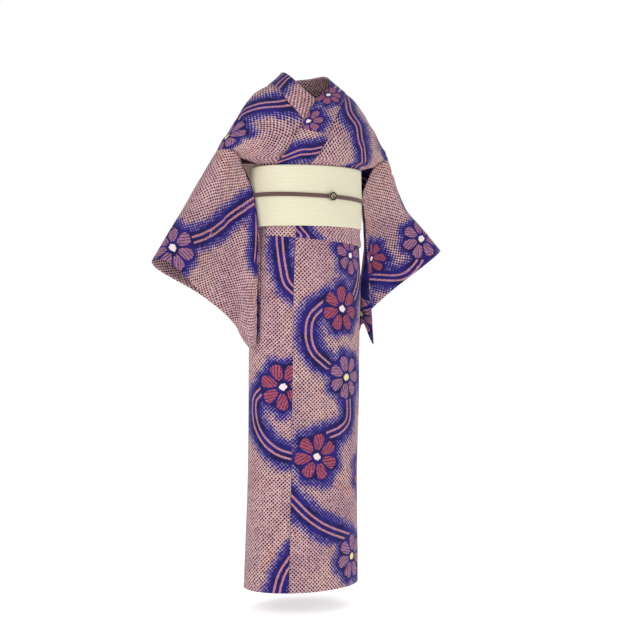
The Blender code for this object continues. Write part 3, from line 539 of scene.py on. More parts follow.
# Creases of each piece: start and end on its flat cloth, half width, and height (a trough is negative)
CREASES = {
    "body_left": (
        (0.232, 0.060, 0.222, 0.780, 0.016, -0.0026), (0.165, 0.330, 0.180, 0.900, 0.013, 0.0022),
        (0.094, 0.020, 0.110, 0.610, 0.019, -0.0024), (0.052, 0.420, 0.066, 0.900, 0.012, 0.0020),
        (0.252, 0.905, 0.190, 0.760, 0.009, 0.0022), (0.205, 0.020, 0.196, 0.270, 0.015, 0.0018),
        (0.140, 0.910, 0.085, 0.790, 0.008, -0.0018), (0.020, 0.050, 0.028, 0.480, 0.014, -0.0020),
        (0.222, 1.225, 0.105, 1.370, 0.011, 0.0034), (0.165, 1.215, 0.070, 1.310, 0.009, -0.0034),
        (0.060, 1.220, 0.028, 1.450, 0.012, 0.0036), (0.105, 1.225, 0.050, 1.300, 0.007, -0.0028),
        (0.020, 1.300, 0.035, 1.470, 0.009, -0.0030), (0.150, 1.400, 0.060, 1.480, 0.016, 0.0024),
        (0.060, 1.560, 0.075, 1.730, 0.012, -0.0034), (0.160, 1.520, 0.110, 1.730, 0.012, 0.0030),
        (0.020, 1.540, 0.040, 1.700, 0.008, 0.0030), (0.150, 2.130, 0.160, 2.760, 0.015, -0.0026),
        (0.080, 2.150, 0.070, 2.600, 0.012, 0.0022), (0.035, 2.300, 0.045, 2.980, 0.014, -0.0022),
        (0.110, 2.700, 0.120, 3.020, 0.015, 0.0020), (0.185, 2.140, 0.140, 2.260, 0.008, 0.0020),
    ),
    "body_right": (
        (0.060, 0.120, 0.052, 0.700, 0.014, -0.0024), (0.110, 0.350, 0.120, 0.900, 0.012, 0.0020),
        (0.020, 0.500, 0.030, 0.920, 0.010, 0.0020), (0.122, 1.338, 0.040, 1.240, 0.007, 0.0062),
        (0.142, 1.312, 0.076, 1.230, 0.007, -0.0058), (0.190, 1.335, 0.150, 1.235, 0.009, 0.0034),
        (0.085, 1.345, 0.020, 1.262, 0.008, -0.0038), (0.035, 1.460, 0.022, 1.260, 0.010, 0.0036),
        (0.130, 1.440, 0.060, 1.470, 0.016, 0.0022), (0.200, 1.300, 0.160, 1.220, 0.006, -0.0026),
        (0.070, 1.560, 0.060, 1.720, 0.011, -0.0034), (0.150, 1.540, 0.120, 1.730, 0.013, 0.0030),
        (0.025, 1.550, 0.045, 1.700, 0.009, 0.0030), (0.140, 2.120, 0.150, 2.640, 0.014, -0.0024),
        (0.070, 2.130, 0.080, 2.720, 0.013, 0.0022), (0.030, 2.360, 0.025, 2.920, 0.013, -0.0022),
        (0.105, 2.560, 0.098, 2.930, 0.015, 0.0020), (0.180, 2.120, 0.130, 2.230, 0.008, 0.0020),
    ),
    "okumi_left": (
        (0.040, 0.360, 0.060, 0.940, 0.014, -0.0022), (0.100, 0.330, 0.088, 0.600, 0.009, 0.0020),
        (0.115, 0.700, 0.105, 1.200, 0.013, 0.0020), (0.022, 0.820, 0.034, 1.230, 0.012, 0.0016),
        (0.070, 0.330, 0.030, 0.440, 0.007, -0.0018),
    ),
    "okumi_right": ((0.050, 0.400, 0.060, 1.000, 0.014, -0.0020), (0.100, 0.600, 0.090, 1.200, 0.012, 0.0018)),
    "collar": ((0.028, 0.130, 0.030, 0.330, 0.009, 0.0010), (0.040, 0.840, 0.036, 1.080, 0.010, 0.0010)),
    "over_collar": (
        (0.030, 0.060, 0.034, 0.240, 0.008, 0.0009), (0.050, 0.520, 0.044, 0.700, 0.008, 0.0009),
    ),
    "sleeve_left": (
        (-0.070, 0.090, -0.350, 0.340, 0.011, 0.0036), (-0.050, 0.180, -0.350, 0.345, 0.010, -0.0032),
        (-0.130, 0.050, -0.370, 0.340, 0.009, -0.0028), (-0.030, 0.270, -0.300, 0.345, 0.011, 0.0030),
        (-0.090, 0.020, -0.230, 0.120, 0.008, 0.0026), (-0.240, 0.150, -0.380, 0.360, 0.007, 0.0024),
        (-0.020, 0.040, -0.110, 0.090, 0.007, -0.0024),
    ),
    "sleeve_right": (
        (-0.060, 0.110, -0.360, 0.375, 0.012, 0.0040), (-0.040, 0.200, -0.360, 0.382, 0.010, -0.0034),
        (-0.140, 0.060, -0.370, 0.360, 0.009, -0.0030), (-0.020, 0.300, -0.310, 0.380, 0.012, 0.0032),
        (-0.090, 0.020, -0.250, 0.150, 0.008, 0.0028), (-0.250, 0.180, -0.390, 0.385, 0.007, 0.0024),
        (-0.020, 0.050, -0.120, 0.110, 0.008, -0.0026), (-0.060, 0.020, -0.090, 0.090, 0.006, 0.0022),
    ),
}

# Blossoms of each piece: middle on its flat cloth, radius, turn, and tint: 0 is crimson and 1 mauve, and from
# about 0.88 on the middle is yellow
BLOSSOMS = {
    "body_left": (
        (0.149, 0.739, 0.060, 0.30, 0.0), (0.222, 0.350, 0.061, 0.10, 0.0), (0.129, 0.559, 0.058, 0.50, 0.9),
        (0.098, 0.078, 0.060, 0.20, 0.9), (0.112, 0.885, 0.052, 0.70, 0.7), (0.030, 0.300, 0.055, 0.4, 0.1),
        (0.110, 1.560, 0.058, 0.20, 0.1), (0.060, 2.130, 0.056, 0.60, 0.8), (0.150, 2.330, 0.060, 0.30, 0.0),
        (0.075, 2.590, 0.060, 0.00, 0.9), (0.165, 2.800, 0.059, 0.80, 0.1), (0.060, 2.960, 0.056, 0.30, 0.8),
    ),
    "body_right": (
        (0.038, 1.432, 0.056, 0.20, 0.9), (0.160, 1.640, 0.057, 0.50, 0.0), (0.130, 2.160, 0.058, 0.30, 0.8),
        (0.055, 2.370, 0.059, 0.10, 0.0), (0.155, 2.600, 0.060, 0.60, 0.1), (0.070, 2.820, 0.058, 0.20, 0.9),
        (0.150, 0.600, 0.060, 0.10, 0.0), (0.090, 0.250, 0.058, 0.40, 0.9), (0.020, 0.480, 0.056, 0.20, 0.1),
    ),
    "okumi_left": ((0.024, 0.710, 0.062, 0.25, 0.0),),
    "okumi_right": ((0.070, 0.640, 0.058, 0.30, 0.8), (0.040, 1.020, 0.060, 0.10, 0.0)),
    "collar": ((0.040, 1.060, 0.050, 0.10, 0.8),),
    "over_collar": (
        (0.014, 0.126, 0.038, 0.20, 0.35), (0.012, 0.024, 0.038, 0.50, 0.55), (0.050, 0.390, 0.046, 0.10, 0.7),
    ),
    "sleeve_left": (
        (-0.068, 0.268, 0.056, 0.20, 0.8), (-0.224, 0.236, 0.048, 0.50, 0.0), (0.348, 0.334, 0.050, 0.10, 0.9),
        (-0.350, 0.350, 0.052, 0.30, 0.2), (0.110, 0.170, 0.060, 0.10, 0.0), (0.215, 0.290, 0.050, 0.40, 0.8),
    ),
    "sleeve_right": (
        (-0.047, 0.330, 0.062, 0.20, 0.8), (0.130, 0.270, 0.060, 0.40, 0.1), (0.180, 0.080, 0.058, 0.10, 0.8),
        (0.320, 0.350, 0.058, 0.10, 0.0),
    ),
}

# Stems of each piece, as points on its flat cloth
STEMS = {
    "body_left": (
        ((0.190, 0.760), (0.240, 0.715), (0.250, 0.665), (0.235, 0.620), (0.190, 0.585)),
        ((0.122, 0.520), (0.118, 0.450), (0.150, 0.420), (0.190, 0.405)),
        ((0.300, 0.250), (0.245, 0.195), (0.190, 0.160), (0.110, 0.130)),
        ((0.305, 1.100), (0.276, 1.064), (0.262, 1.040), (0.240, 1.018), (0.225, 0.985)),
        ((0.235, 1.450), (0.206, 1.400), (0.158, 1.380), (0.134, 1.341), (0.112, 1.290), (0.095, 1.240)),
        ((0.125, 0.745), (0.083, 0.792), (0.060, 0.850)), ((0.020, 1.400), (0.080, 1.480), (0.100, 1.520)),
        ((0.140, 1.610), (0.200, 1.680), (0.150, 1.740)), ((0.090, 2.160), (0.150, 2.200), (0.150, 2.270)),
        ((0.130, 2.390), (0.060, 2.450), (0.050, 2.530)), ((0.110, 2.640), (0.180, 2.680), (0.170, 2.740)),
        ((0.140, 2.850), (0.080, 2.880), (0.060, 2.910)), ((0.040, 0.560), (0.000, 0.470), (0.010, 0.360)),
    ),
    "body_right": (
        ((0.070, 1.440), (0.110, 1.452), (0.150, 1.422), (0.185, 1.390), (0.215, 1.375)),
        ((0.100, 1.540), (0.120, 1.590)), ((0.200, 1.690), (0.190, 1.760), (0.150, 1.800)),
        ((0.150, 2.230), (0.150, 2.300), (0.090, 2.340)), ((0.050, 2.440), (0.060, 2.520), (0.110, 2.560)),
        ((0.170, 2.670), (0.150, 2.750), (0.100, 2.780)), ((0.060, 2.880), (0.030, 2.960)),
        ((0.160, 0.530), (0.160, 0.400), (0.110, 0.310)), ((0.030, 0.550), (0.010, 0.700), (0.060, 0.860)),
    ),
    "okumi_left": (
        ((0.045, 0.300), (0.040, 0.345), (0.030, 0.400), (0.018, 0.440), (-0.010, 0.465)),
        ((0.075, 0.716), (0.108, 0.750), (0.106, 0.800), (0.080, 0.845), (0.040, 0.878), (-0.010, 0.893)),
        ((-0.010, 1.150), (0.020, 1.200), (0.035, 1.260)),
    ),
    "okumi_right": (((0.070, 0.700), (0.110, 0.820), (0.060, 0.960)),),
    "collar": (
        ((-0.014, 0.108), (0.007, 0.125), (0.034, 0.148), (0.062, 0.157), (0.088, 0.172)),
        ((0.080, 0.960), (0.040, 0.990)), ((0.020, 0.380), (0.050, 0.420)),
    ),
    "over_collar": (
        ((0.020, 0.150), (0.035, 0.230), (0.060, 0.300), (0.050, 0.360)),
        ((-0.020, 0.545), (0.021, 0.556), (0.053, 0.573), (0.095, 0.588)),
    ),
    "sleeve_left": (
        ((-0.100, 0.312), (-0.140, 0.322), (-0.190, 0.318), (-0.245, 0.290), (-0.290, 0.240)),
        ((0.240, 0.150), (0.262, 0.190), (0.300, 0.260), (0.330, 0.310)),
        ((-0.020, 0.150), (0.000, 0.200), (-0.020, 0.260)), ((0.130, 0.210), (0.160, 0.300), (0.200, 0.320)),
        ((0.080, 0.110), (0.060, 0.040), (0.120, -0.020)),
    ),
    "sleeve_right": (
        ((-0.080, 0.285), (-0.112, 0.248), (-0.142, 0.202), (-0.174, 0.144), (-0.205, 0.083), (-0.240, 0.020)),
        ((-0.236, 0.090), (-0.268, 0.155), (-0.296, 0.218)),
        ((-0.010, 0.280), (0.060, 0.245), (0.090, 0.255)), ((0.150, 0.215), (0.190, 0.160), (0.190, 0.120)),
        ((0.170, 0.305), (0.230, 0.320), (0.290, 0.340)),
    ),
}


# Cloth grids

def body_rows(side):
    """A body panel's rows: front hem, waist tuck, chest, over the shoulder, and down the back to the hem."""
    front_low, front_high = lower_rows(side, -1), chest_rows(side, -1)
    back_high, back_low = chest_rows(side, 1), lower_rows(side, 1)
    return np.array(list(reversed(front_low)) + front_high + list(reversed(back_high))[1:] + back_low)


def narrow_rows(side):
    """A narrow front panel's rows from its tip down to the hem."""
    rows = []
    for i in range(len(fold_rows(0.0))):
        skirt = i > FOLD_TURN
        points = []
        for j in range(ACROSS_OKUMI + 1):
            level = fold_rows(OKUMI_SEAM)[i][0] if i > 0 else OKUMI_TIP
            free, seam = front_edges(level, side, skirt)
            angle = free + (seam - SEAM_HALF - free) * j / ACROSS_OKUMI
            true_angle = angle if side > 0 else 180.0 - angle
            height, offset = fold_rows(true_angle)[i] if i > 0 else (OKUMI_TIP, 0.0)
            lap = lap_at(height) if side > 0 else 0.0
            points.append(body_point(true_angle, height, offset + lap))
        rows.append(points)
    return np.array(rows)


def over_collar_grid():
    """The over-collar's rows, moved out from the collar's."""
    rows = collar_grid()
    normals = grid_normals(rows)
    if normals[COLLAR_STEPS][ACROSS_COLLAR // 2][1] < 0.0:
        normals = -normals
    lift = COLLAR_WALL / 2 + SEAM + COVER_WALL / 2
    covered = int(round(COVER_END * COLLAR_STEPS / 10.0))
    return (rows + normals * lift)[COLLAR_STEPS - covered:COLLAR_STEPS + covered + 1]


def sleeve_loop():
    """Down shares and faces round a sleeve, from the bottom in front over the arm to the bottom behind."""
    downs = [seam_share(i) * ARMHOLE_SEWN / SLEEVE_DEPTH for i in range(ROWS_CHEST, -1, -1)]
    downs += [0.27, 0.34, CUFF_OPEN / SLEEVE_DEPTH, 0.52, 0.63, 0.75, 0.87, 1.0]
    return [(down, -1) for down in reversed(downs)] + [(down, 1) for down in downs[1:]]


def sleeve_grid(table, side):
    """A sleeve's rings from the armhole to the cuff."""
    alongs = [i / RINGS_SLEEVE for i in range(RINGS_SLEEVE + 1)]
    points = np.array([[sleeve_point(table, along, down, face) for down, face in sleeve_loop()] for along in alongs])
    if side < 0:
        points[:, :, 0] *= -1.0
    return points


def drawn_in(points, side, amount):
    """A sleeve with its free edge below the armhole drawn in towards the belt."""
    near = np.clip(1.0 - np.linalg.norm(points - points[:1], axis=2) / DRAWN_REACH, 0.0, 1.0)
    low = np.clip((DRAWN_FROM - points[..., 2]) / DRAWN_OVER, 0.0, 1.0)
    moved = points.copy()
    moved[..., 0] -= side * amount * near * near * (3 - 2 * near) * low
    return moved


def refine(grid, spacing):
    """A finer grid through a grid's own points, with rows and columns about a spacing apart."""
    points = np.asarray(grid, float)
    for axis in (0, 1):
        points = np.swapaxes(points, 0, axis)
        steps = np.linalg.norm(np.diff(points, axis=0), axis=2).mean(axis=1)
        knots = np.concatenate(((0.0,), np.cumsum(np.maximum(steps, 1e-5))))
        tangents = np.gradient(points, knots, axis=0)
        pieces = []
        for i in range(len(knots) - 1):
            width = knots[i + 1] - knots[i]
            count = max(1, int(round(width / spacing)))
            u = (np.arange(count) / count)[:, None, None]
            pieces.append(cubic(u, width, points[i], points[i + 1], tangents[i], tangents[i + 1]))
        pieces.append(points[-1:])
        points = np.swapaxes(np.concatenate(pieces), 0, axis)
    return points


def cloth_coordinates(points, from_last):
    """Place on the flat cloth, in metres: across from one edge, along from the first row."""
    across = np.linalg.norm(np.diff(points, axis=1), axis=2)
    if from_last:
        across = across[:, ::-1]
    u = np.concatenate((np.zeros((len(points), 1)), np.cumsum(across, axis=1)), axis=1)
    if from_last:
        u = u[:, ::-1]
    steps = np.linalg.norm(np.diff(points, axis=0), axis=2).mean(axis=1)
    v = np.concatenate(((0.0,), np.cumsum(steps)))
    return np.stack((u, np.repeat(v[:, None], points.shape[1], axis=1)), axis=2)


def sleeve_coordinates(points):
    """Place on a sleeve's flat cloth: across from the fold over the arm (less than 0 in front), along the arm."""
    middle = points.shape[1] // 2
    arm = points[-1, middle] - points[0, middle]
    arm = arm / np.linalg.norm(arm)
    out = np.cross(arm, (0.0, 0.0, 1.0))
    out = out / np.linalg.norm(out)
    folded = np.cumsum(np.abs(np.diff(points, axis=0) @ out), axis=0)
    along = (points - points[0, middle]) @ arm
    along[1:] += folded
    steps = np.diff(points, axis=1)
    steps = np.linalg.norm(steps - (steps @ arm)[..., None] * arm, axis=2)
    u = np.concatenate((np.zeros((len(points), 1)), np.cumsum(steps, axis=1)), axis=1)
    return np.stack((u - u[:, middle][:, None], along), axis=2)


def outward_sign(points, normals):
    """1 where a piece's normals point away from the middle of the wearer, else -1."""
    away = points[..., :2] - np.array((0.0, 0.02))
    return 1.0 if np.sum(away * normals[..., :2]) > 0.0 else -1.0


def creased(points, cloth, creases, drift, seed, tucked=False):
    """The grid with its creases: each is a start and an end on the cloth, a half width and a height."""
    normals = grid_normals(points)
    normals = normals * outward_sign(points, normals)
    lift = np.zeros(points.shape[:2])
    for u0, v0, u1, v1, half, height in creases:
        a, b = np.array((u0, v0)), np.array((u1, v1))
        along = b - a
        length = np.linalg.norm(along)
        share = np.clip(((cloth - a) @ along) / length ** 2, -0.2, 1.2)
        bend = 0.10 * length * np.sin(math.pi * np.clip(share, 0, 1))
        side = np.array((-along[1], along[0])) / length
        middle = a + share[..., None] * along + (bend * (0.6 + 0.4 * math.sin(seed + 9 * u0)))[..., None] * side
        distance = np.linalg.norm(cloth - middle, axis=2)
        taper = np.clip(np.sin(math.pi * np.clip((share + 0.2) / 1.4, 0, 1)), 0, 1) ** 1.3
        width = half * (0.75 + 0.5 * share)
        lift += height * np.exp(-(distance / width) ** 2) * taper
    u, v = cloth[..., 0], cloth[..., 1]
    lift += drift * (np.sin(17 * u + 5 * v + seed) * np.sin(9 * v - 4 * u + 2 * seed)
                     + 0.5 * np.sin(41 * u - 23 * v + 3 * seed) * np.sin(29 * v + 11 * u))
    edge = np.minimum(u - u.min(axis=1, keepdims=True), u.max(axis=1, keepdims=True) - u)
    lift *= np.clip(edge / 0.012, 0, 1)
    calm = np.ones(points.shape[:2])
    if tucked:
        calm[(points[..., 2] < BELT_TOP + 0.004) & (points[..., 2] > TUCK_TOP - 0.075)] = 0.0
    for _ in range(4):
        calm[1:-1] = np.minimum(calm[1:-1], (calm[:-2] + calm[1:-1] + calm[2:]) / 3)
    return points + normals * (lift * calm)[..., None]


# The pattern

def motif_fields(cloth, flowers, vines):
    """Each point's place and tint in the nearest flower; its distances to stem and flower; 1 past a stem's end."""
    flat = cloth.reshape(-1, 2)
    place = np.zeros((len(flat), 3))
    near = np.full(len(flat), 1.0)
    for u, v, radius, turn, tint in flowers:
        offset = flat - np.array((u, v))
        distance = np.linalg.norm(offset, axis=1)
        mine = distance - radius < near
        near = np.where(mine, distance - radius, near)
        c, s = math.cos(turn), math.sin(turn)
        local = np.stack((offset[:, 0] * c - offset[:, 1] * s, offset[:, 0] * s + offset[:, 1] * c), axis=1) / radius
        place[mine, :2] = local[mine]
        place[mine, 2] = tint
    vine, past = np.full(len(flat), 1.0), np.zeros(len(flat))
    for route in vines:
        route = np.asarray(route, float)
        at = np.linspace(0, len(route) - 1, 12 * (len(route) - 1) + 1)
        fine = [curve_through(list(range(len(route))), route, t) for t in at]
        for i, (a, b) in enumerate(zip(fine, fine[1:])):
            along = b - a
            share = ((flat - a) @ along) / max(along @ along, 1e-12)
            beyond = ((share < 0) & (i == 0)) | ((share > 1) & (i == len(fine) - 2))
            distance = np.linalg.norm(flat - a - np.clip(share, 0, 1)[:, None] * along, axis=1)
            past = np.where(distance < vine, beyond, past)
            vine = np.minimum(vine, distance)
    return place, np.stack((vine, near, past), axis=1)


# Meshes

def mesh_object(name, vertices, faces, uv, place, halo, material):
    """A mesh with its place on the flat cloth and, where given, its pattern attributes."""
    mesh = bpy.data.meshes.new(name)
    mesh.from_pydata(vertices.tolist(), [], faces)
    layer = mesh.uv_layers.new(name="cloth")
    index = np.empty(len(mesh.loops), dtype=np.int32)
    mesh.loops.foreach_get("vertex_index", index)
    layer.data.foreach_set("uv", np.asarray(uv, dtype=np.float32)[index].ravel())
    for label, values in (("place", place), ("halo", halo)):
        if values is not None:
            attribute = mesh.attributes.new(label, "FLOAT_VECTOR", "POINT")
            attribute.data.foreach_set("vector", np.asarray(values, dtype=np.float32).ravel())
    mesh.materials.append(material)
    body = bmesh.new()
    body.from_mesh(mesh)
    bmesh.ops.recalc_face_normals(body, faces=body.faces)
    body.to_mesh(mesh)
    body.free()
    mesh.shade_smooth()
    obj = bpy.data.objects.new(name, mesh)
    bpy.context.scene.collection.objects.link(obj)
    return obj


def cloth_shell(name, points, cloth, wall, material, ring=False, motifs=None, web_from=None):
    """A thin closed shell of cloth round a fine grid; a sleeve's cuff is shut from a column on."""
    rows, columns = points.shape[:2]
    wrapped = np.concatenate((points[:, -1:], points, points[:, :1]), axis=1) if ring else points
    normals = grid_normals(wrapped)
    if ring:
        normals = normals[:, 1:-1]
    upper, lower = points + normals * wall / 2, points - normals * wall / 2
    if web_from is not None:
        step = lower[-2] - lower[-1]
        step = step / np.linalg.norm(step, axis=1, keepdims=True) * wall
        shut = [k for k in range(columns) if k <= web_from or k >= columns - 1 - web_from]
        side = np.sum((upper[:, web_from // 2] - upper[:, columns - 1 - web_from // 2]) * normals[:, web_from // 2])
        inside = lower if side > 0 else upper
        for k in shut:
            inside[-1][k] = inside[-1][k] + step[k]
    vertices = np.concatenate((upper.reshape(-1, 3), lower.reshape(-1, 3)))
    under = rows * columns
    grid = np.arange(under).reshape(rows, columns)
    faces = []

    def rim(p, q):
        faces.append((int(p), int(q), int(q) + under, int(p) + under))

    if ring:
        across = np.roll(grid, -1, axis=1)
        a, b, c, d = grid[:-1], across[:-1], across[1:], grid[1:]
    else:
        a, b, c, d = grid[:-1, :-1], grid[:-1, 1:], grid[1:, 1:], grid[1:, :-1]
    top = np.stack((a, b, c, d), axis=-1).reshape(-1, 4)
    faces += top.tolist() + (top[:, ::-1] + under).tolist()
    count = columns if ring else columns - 1
    for row in (0, rows - 1):
        for k in range(count):
            if row == rows - 1 and web_from is not None and (k < web_from or k >= columns - 1 - web_from):
                continue
            rim(grid[row, k], grid[row, (k + 1) % columns])
    if not ring:
        for k in (0, columns - 1):
            for row in range(rows - 1):
                rim(grid[row, k], grid[row + 1, k])
    # The lower cuff: a web from its front to its back, through both sides of the shell
    if web_from is not None:
        last = rows - 1
        for k in range(web_from):
            other = columns - 1 - k
            web = (int(grid[last, k]), int(grid[last, k + 1]), int(grid[last, other - 1]), int(grid[last, other]))
            faces.append(web)
            faces.append(tuple(i + under for i in reversed(web)))
        rim(grid[last, web_from], grid[last, columns - 1 - web_from])
    place, halo = (None, None) if motifs is None else (np.tile(values, (2, 1)) for values in motifs)
    return mesh_object(name, vertices, faces, np.tile(cloth.reshape(-1, 2), (2, 1)), place, halo, material)


# Finishes

class Nodes:
    """Adds shader nodes to a tree in few words."""

    def __init__(self, tree):
        self.tree = tree
        self.x = 0

    def add(self, kind, **settings):
        node = self.tree.nodes.new(kind)
        self.x += 40
        node.location = (self.x, 0)
        for key, value in settings.items():
            setattr(node, key, value)
        return node

    def put(self, value, socket):
        if hasattr(value, "is_output"):
            self.tree.links.new(value, socket)
        elif isinstance(value, tuple) and len(value) == 3 and socket.type == "RGBA":
            socket.default_value = (*value, 1.0)
        else:
            socket.default_value = value

    def math(self, operation, *values, clamp=False):
        node = self.add("ShaderNodeMath", operation=operation, use_clamp=clamp)
        for value, socket in zip(values, node.inputs):
            self.put(value, socket)
        return node.outputs[0]

    def plus(self, a, b, clamp=False):
        return self.math("ADD", a, b, clamp=clamp)

    def minus(self, a, b):
        return self.math("SUBTRACT", a, b)

    def times(self, a, b):
        return self.math("MULTIPLY", a, b)

    def over(self, a, b):
        return self.math("DIVIDE", a, b)

    def ramp(self, value, low, high, out_low=0.0, out_high=1.0):
        node = self.add("ShaderNodeMapRange", interpolation_type="SMOOTHSTEP")
        for item, socket in zip((value, low, high, out_low, out_high), node.inputs):
            self.put(item, socket)
        return node.outputs[0]

    def mix(self, share, a, b):
        node = self.add("ShaderNodeMix", data_type="RGBA")
        self.put(share, node.inputs[0])
        self.put(a, node.inputs[6])
        self.put(b, node.inputs[7])
        return node.outputs[2]

    def noise(self, vector, scale, detail=2.0, roughness=0.5):
        node = self.add("ShaderNodeTexNoise")
        self.put(vector, node.inputs["Vector"])
        self.put(scale, node.inputs["Scale"])
        self.put(detail, node.inputs["Detail"])
        self.put(roughness, node.inputs["Roughness"])
        return node.outputs[0]

    def waver(self, vector, amount, scale, detail=2.0, roughness=0.5):
        return self.times(self.minus(self.noise(vector, scale, detail, roughness), 0.5), amount)

    def parts(self, vector):
        node = self.add("ShaderNodeSeparateXYZ")
        self.put(vector, node.inputs[0])
        return node.outputs

    def vector(self, x, y, z=0.0):
        node = self.add("ShaderNodeCombineXYZ")
        for value, socket in zip((x, y, z), node.inputs):
            self.put(value, socket)
        return node.outputs[0]

    def attribute(self, name):
        return self.add("ShaderNodeAttribute", attribute_type="GEOMETRY", attribute_name=name).outputs["Vector"]

    def cloth(self):
        return self.add("ShaderNodeUVMap", uv_map="cloth").outputs[0]


def group(name, inputs, outputs):
    """A new shader node group, and its Nodes, input sockets and output sockets.

    An input is a vector where its default is None, and otherwise a number. Every output is a number.
    """
    tree = bpy.data.node_groups.new(name, "ShaderNodeTree")
    for label, default in inputs.items():
        kind = "NodeSocketVector" if default is None else "NodeSocketFloat"
        socket = tree.interface.new_socket(name=label, in_out="INPUT", socket_type=kind)
        if default is not None:
            socket.default_value = default
    for label in outputs:
        tree.interface.new_socket(name=label, in_out="OUTPUT", socket_type="NodeSocketFloat")
    return tree, Nodes(tree), tree.nodes.new("NodeGroupInput").outputs, tree.nodes.new("NodeGroupOutput").inputs


def plain_weave_group():
    """Threads over and under each other: a height and a slight light and dark."""
    tree, n, given, out = group("Plain weave", {"Cloth": None, "Threads per metre": 1700.0}, ("Height", "Fleck"))
    x, y, _ = n.parts(given["Cloth"])
    turn = n.times(given["Threads per metre"], math.pi)
    warp = n.math("ABSOLUTE", n.math("SINE", n.times(x, turn)))
    weft = n.math("ABSOLUTE", n.math("SINE", n.times(y, turn)))
    fleck = n.noise(given["Cloth"], 900.0, 2.0, 0.6)
    n.put(n.plus(n.times(n.plus(warp, weft), 0.4), n.times(fleck, 0.3)), out["Height"])
    n.put(fleck, out["Fleck"])
    return tree


def dot_lattice_group():
    """Tied dots on a diagonal lattice: distance to the nearest dot, and a value of its own for each dot."""
    tree, n, given, out = group("Tied dots", {"Cloth": None, "Pitch": DOT_PITCH}, ("Distance", "Dot value", "Line"))
    x, y, _ = n.parts(given["Cloth"])
    shift = n.waver(given["Cloth"], 0.012, 9.0, 1.0)
    a = n.times(n.over(n.plus(n.plus(x, y), shift), given["Pitch"]), DIAGONAL)
    b = n.times(n.over(n.minus(n.minus(x, y), shift), given["Pitch"]), DIAGONAL)
    cell = n.vector(n.math("FLOOR", a), n.math("FLOOR", b))
    white = n.add("ShaderNodeTexWhiteNoise", noise_dimensions="2D")
    n.put(cell, white.inputs["Vector"])
    jitter = n.parts(white.outputs["Color"])
    fa = n.minus(n.minus(n.math("FRACT", a), 0.5), n.times(n.minus(jitter[0], 0.5), DOT_JITTER))
    fb = n.minus(n.minus(n.math("FRACT", b), 0.5), n.times(n.minus(jitter[1], 0.5), DOT_JITTER))
    square = n.plus(n.times(fa, fa), n.times(fb, fb))
    n.put(n.times(n.math("SQRT", square), given["Pitch"]), out["Distance"])
    n.put(white.outputs["Value"], out["Dot value"])
    n.put(n.math("ABSOLUTE", fa), out["Line"])
    return tree


def blossom_group():
    """A blossom: masks for its petals, the hatching and the cut along each of them, and its pale middle."""
    tree, n, given, out = group("Blossom", {"Place": None, "Petals": float(PETALS)},
                                ("Petal", "Hatch", "Middle", "Cut", "Lobe"))
    x, y, _ = n.parts(given["Place"])
    rough = n.waver(given["Place"], 0.30, 5.0, 3.0, 0.70)
    radius = n.plus(n.math("SQRT", n.plus(n.times(x, x), n.times(y, y))), rough)
    angle = n.over(n.math("ARCTAN2", y, x), 2.0 * math.pi)
    turn = n.times(angle, given["Petals"])
    sector = n.minus(n.math("FRACT", n.plus(turn, 7.5)), 0.5)
    around = n.times(n.times(sector, 2.0 * math.pi), n.over(radius, given["Petals"]))
    long = n.over(n.minus(radius, 0.635), 0.345)
    wide = n.over(around, n.plus(0.055, n.times(radius, 0.268)))
    shape = n.plus(n.math("POWER", n.math("ABSOLUTE", long), 2.8), n.math("POWER", n.math("ABSOLUTE", wide), 2.8))
    n.put(n.ramp(shape, 0.84, 1.04, 1.0, 0.0), out["Petal"])
    step = n.plus(n.times(around, 8.5), n.times(radius, 4.0))
    hatch = n.math("ABSOLUTE", n.math("SINE", n.times(step, 2.6)))
    broken = n.noise(given["Place"], 8.0, 2.0, 0.6)
    n.put(n.times(n.ramp(hatch, 0.72, 0.34), n.ramp(broken, 0.34, 0.46)), out["Hatch"])
    n.put(n.math("COSINE", n.times(sector, 2.0 * math.pi)), out["Lobe"])
    n.put(n.ramp(radius, 0.135, 0.165, 1.0, 0.0), out["Middle"])
    cut = n.ramp(n.math("ABSOLUTE", wide), 0.02, 0.09, 1.0, 0.0)
    n.put(n.times(cut, n.ramp(radius, 0.30, 0.80, 1.0, 0.0)), out["Cut"])
    return tree


def new_finish(name, inputs):
    """A material with its Nodes and its shader, the shader's inputs set."""
    material = bpy.data.materials.new(name)
    material.use_nodes = True
    shader = material.node_tree.nodes["Principled BSDF"]
    for label, value in inputs.items():
        shader.inputs[label].default_value = value
    return material, Nodes(material.node_tree), shader


def shell_finish(name, roughness, sheen):
    """A cloth material with its Nodes and its shader."""
    return new_finish(name, {"Roughness": roughness, "Sheen Weight": sheen, "Sheen Roughness": 0.5,
                             "Specular IOR Level": 0.25})


def place_group(n, name, maker, **values):
    """A node group, made the first time it is asked for, placed with its inputs set; its output sockets."""
    node = n.add("ShaderNodeGroup")
    node.node_tree = bpy.data.node_groups.get(name) or maker()
    for label, value in values.items():
        n.put(value, node.inputs[label.replace("_", " ")])
    return node.outputs


def bump(n, shader, height, distance, strength):
    """Joins a height to the shader as fine relief."""
    node = n.add("ShaderNodeBump")
    node.inputs["Strength"].default_value = strength
    node.inputs["Distance"].default_value = distance
    n.put(height, node.inputs["Height"])
    n.put(node.outputs[0], shader.inputs["Normal"])


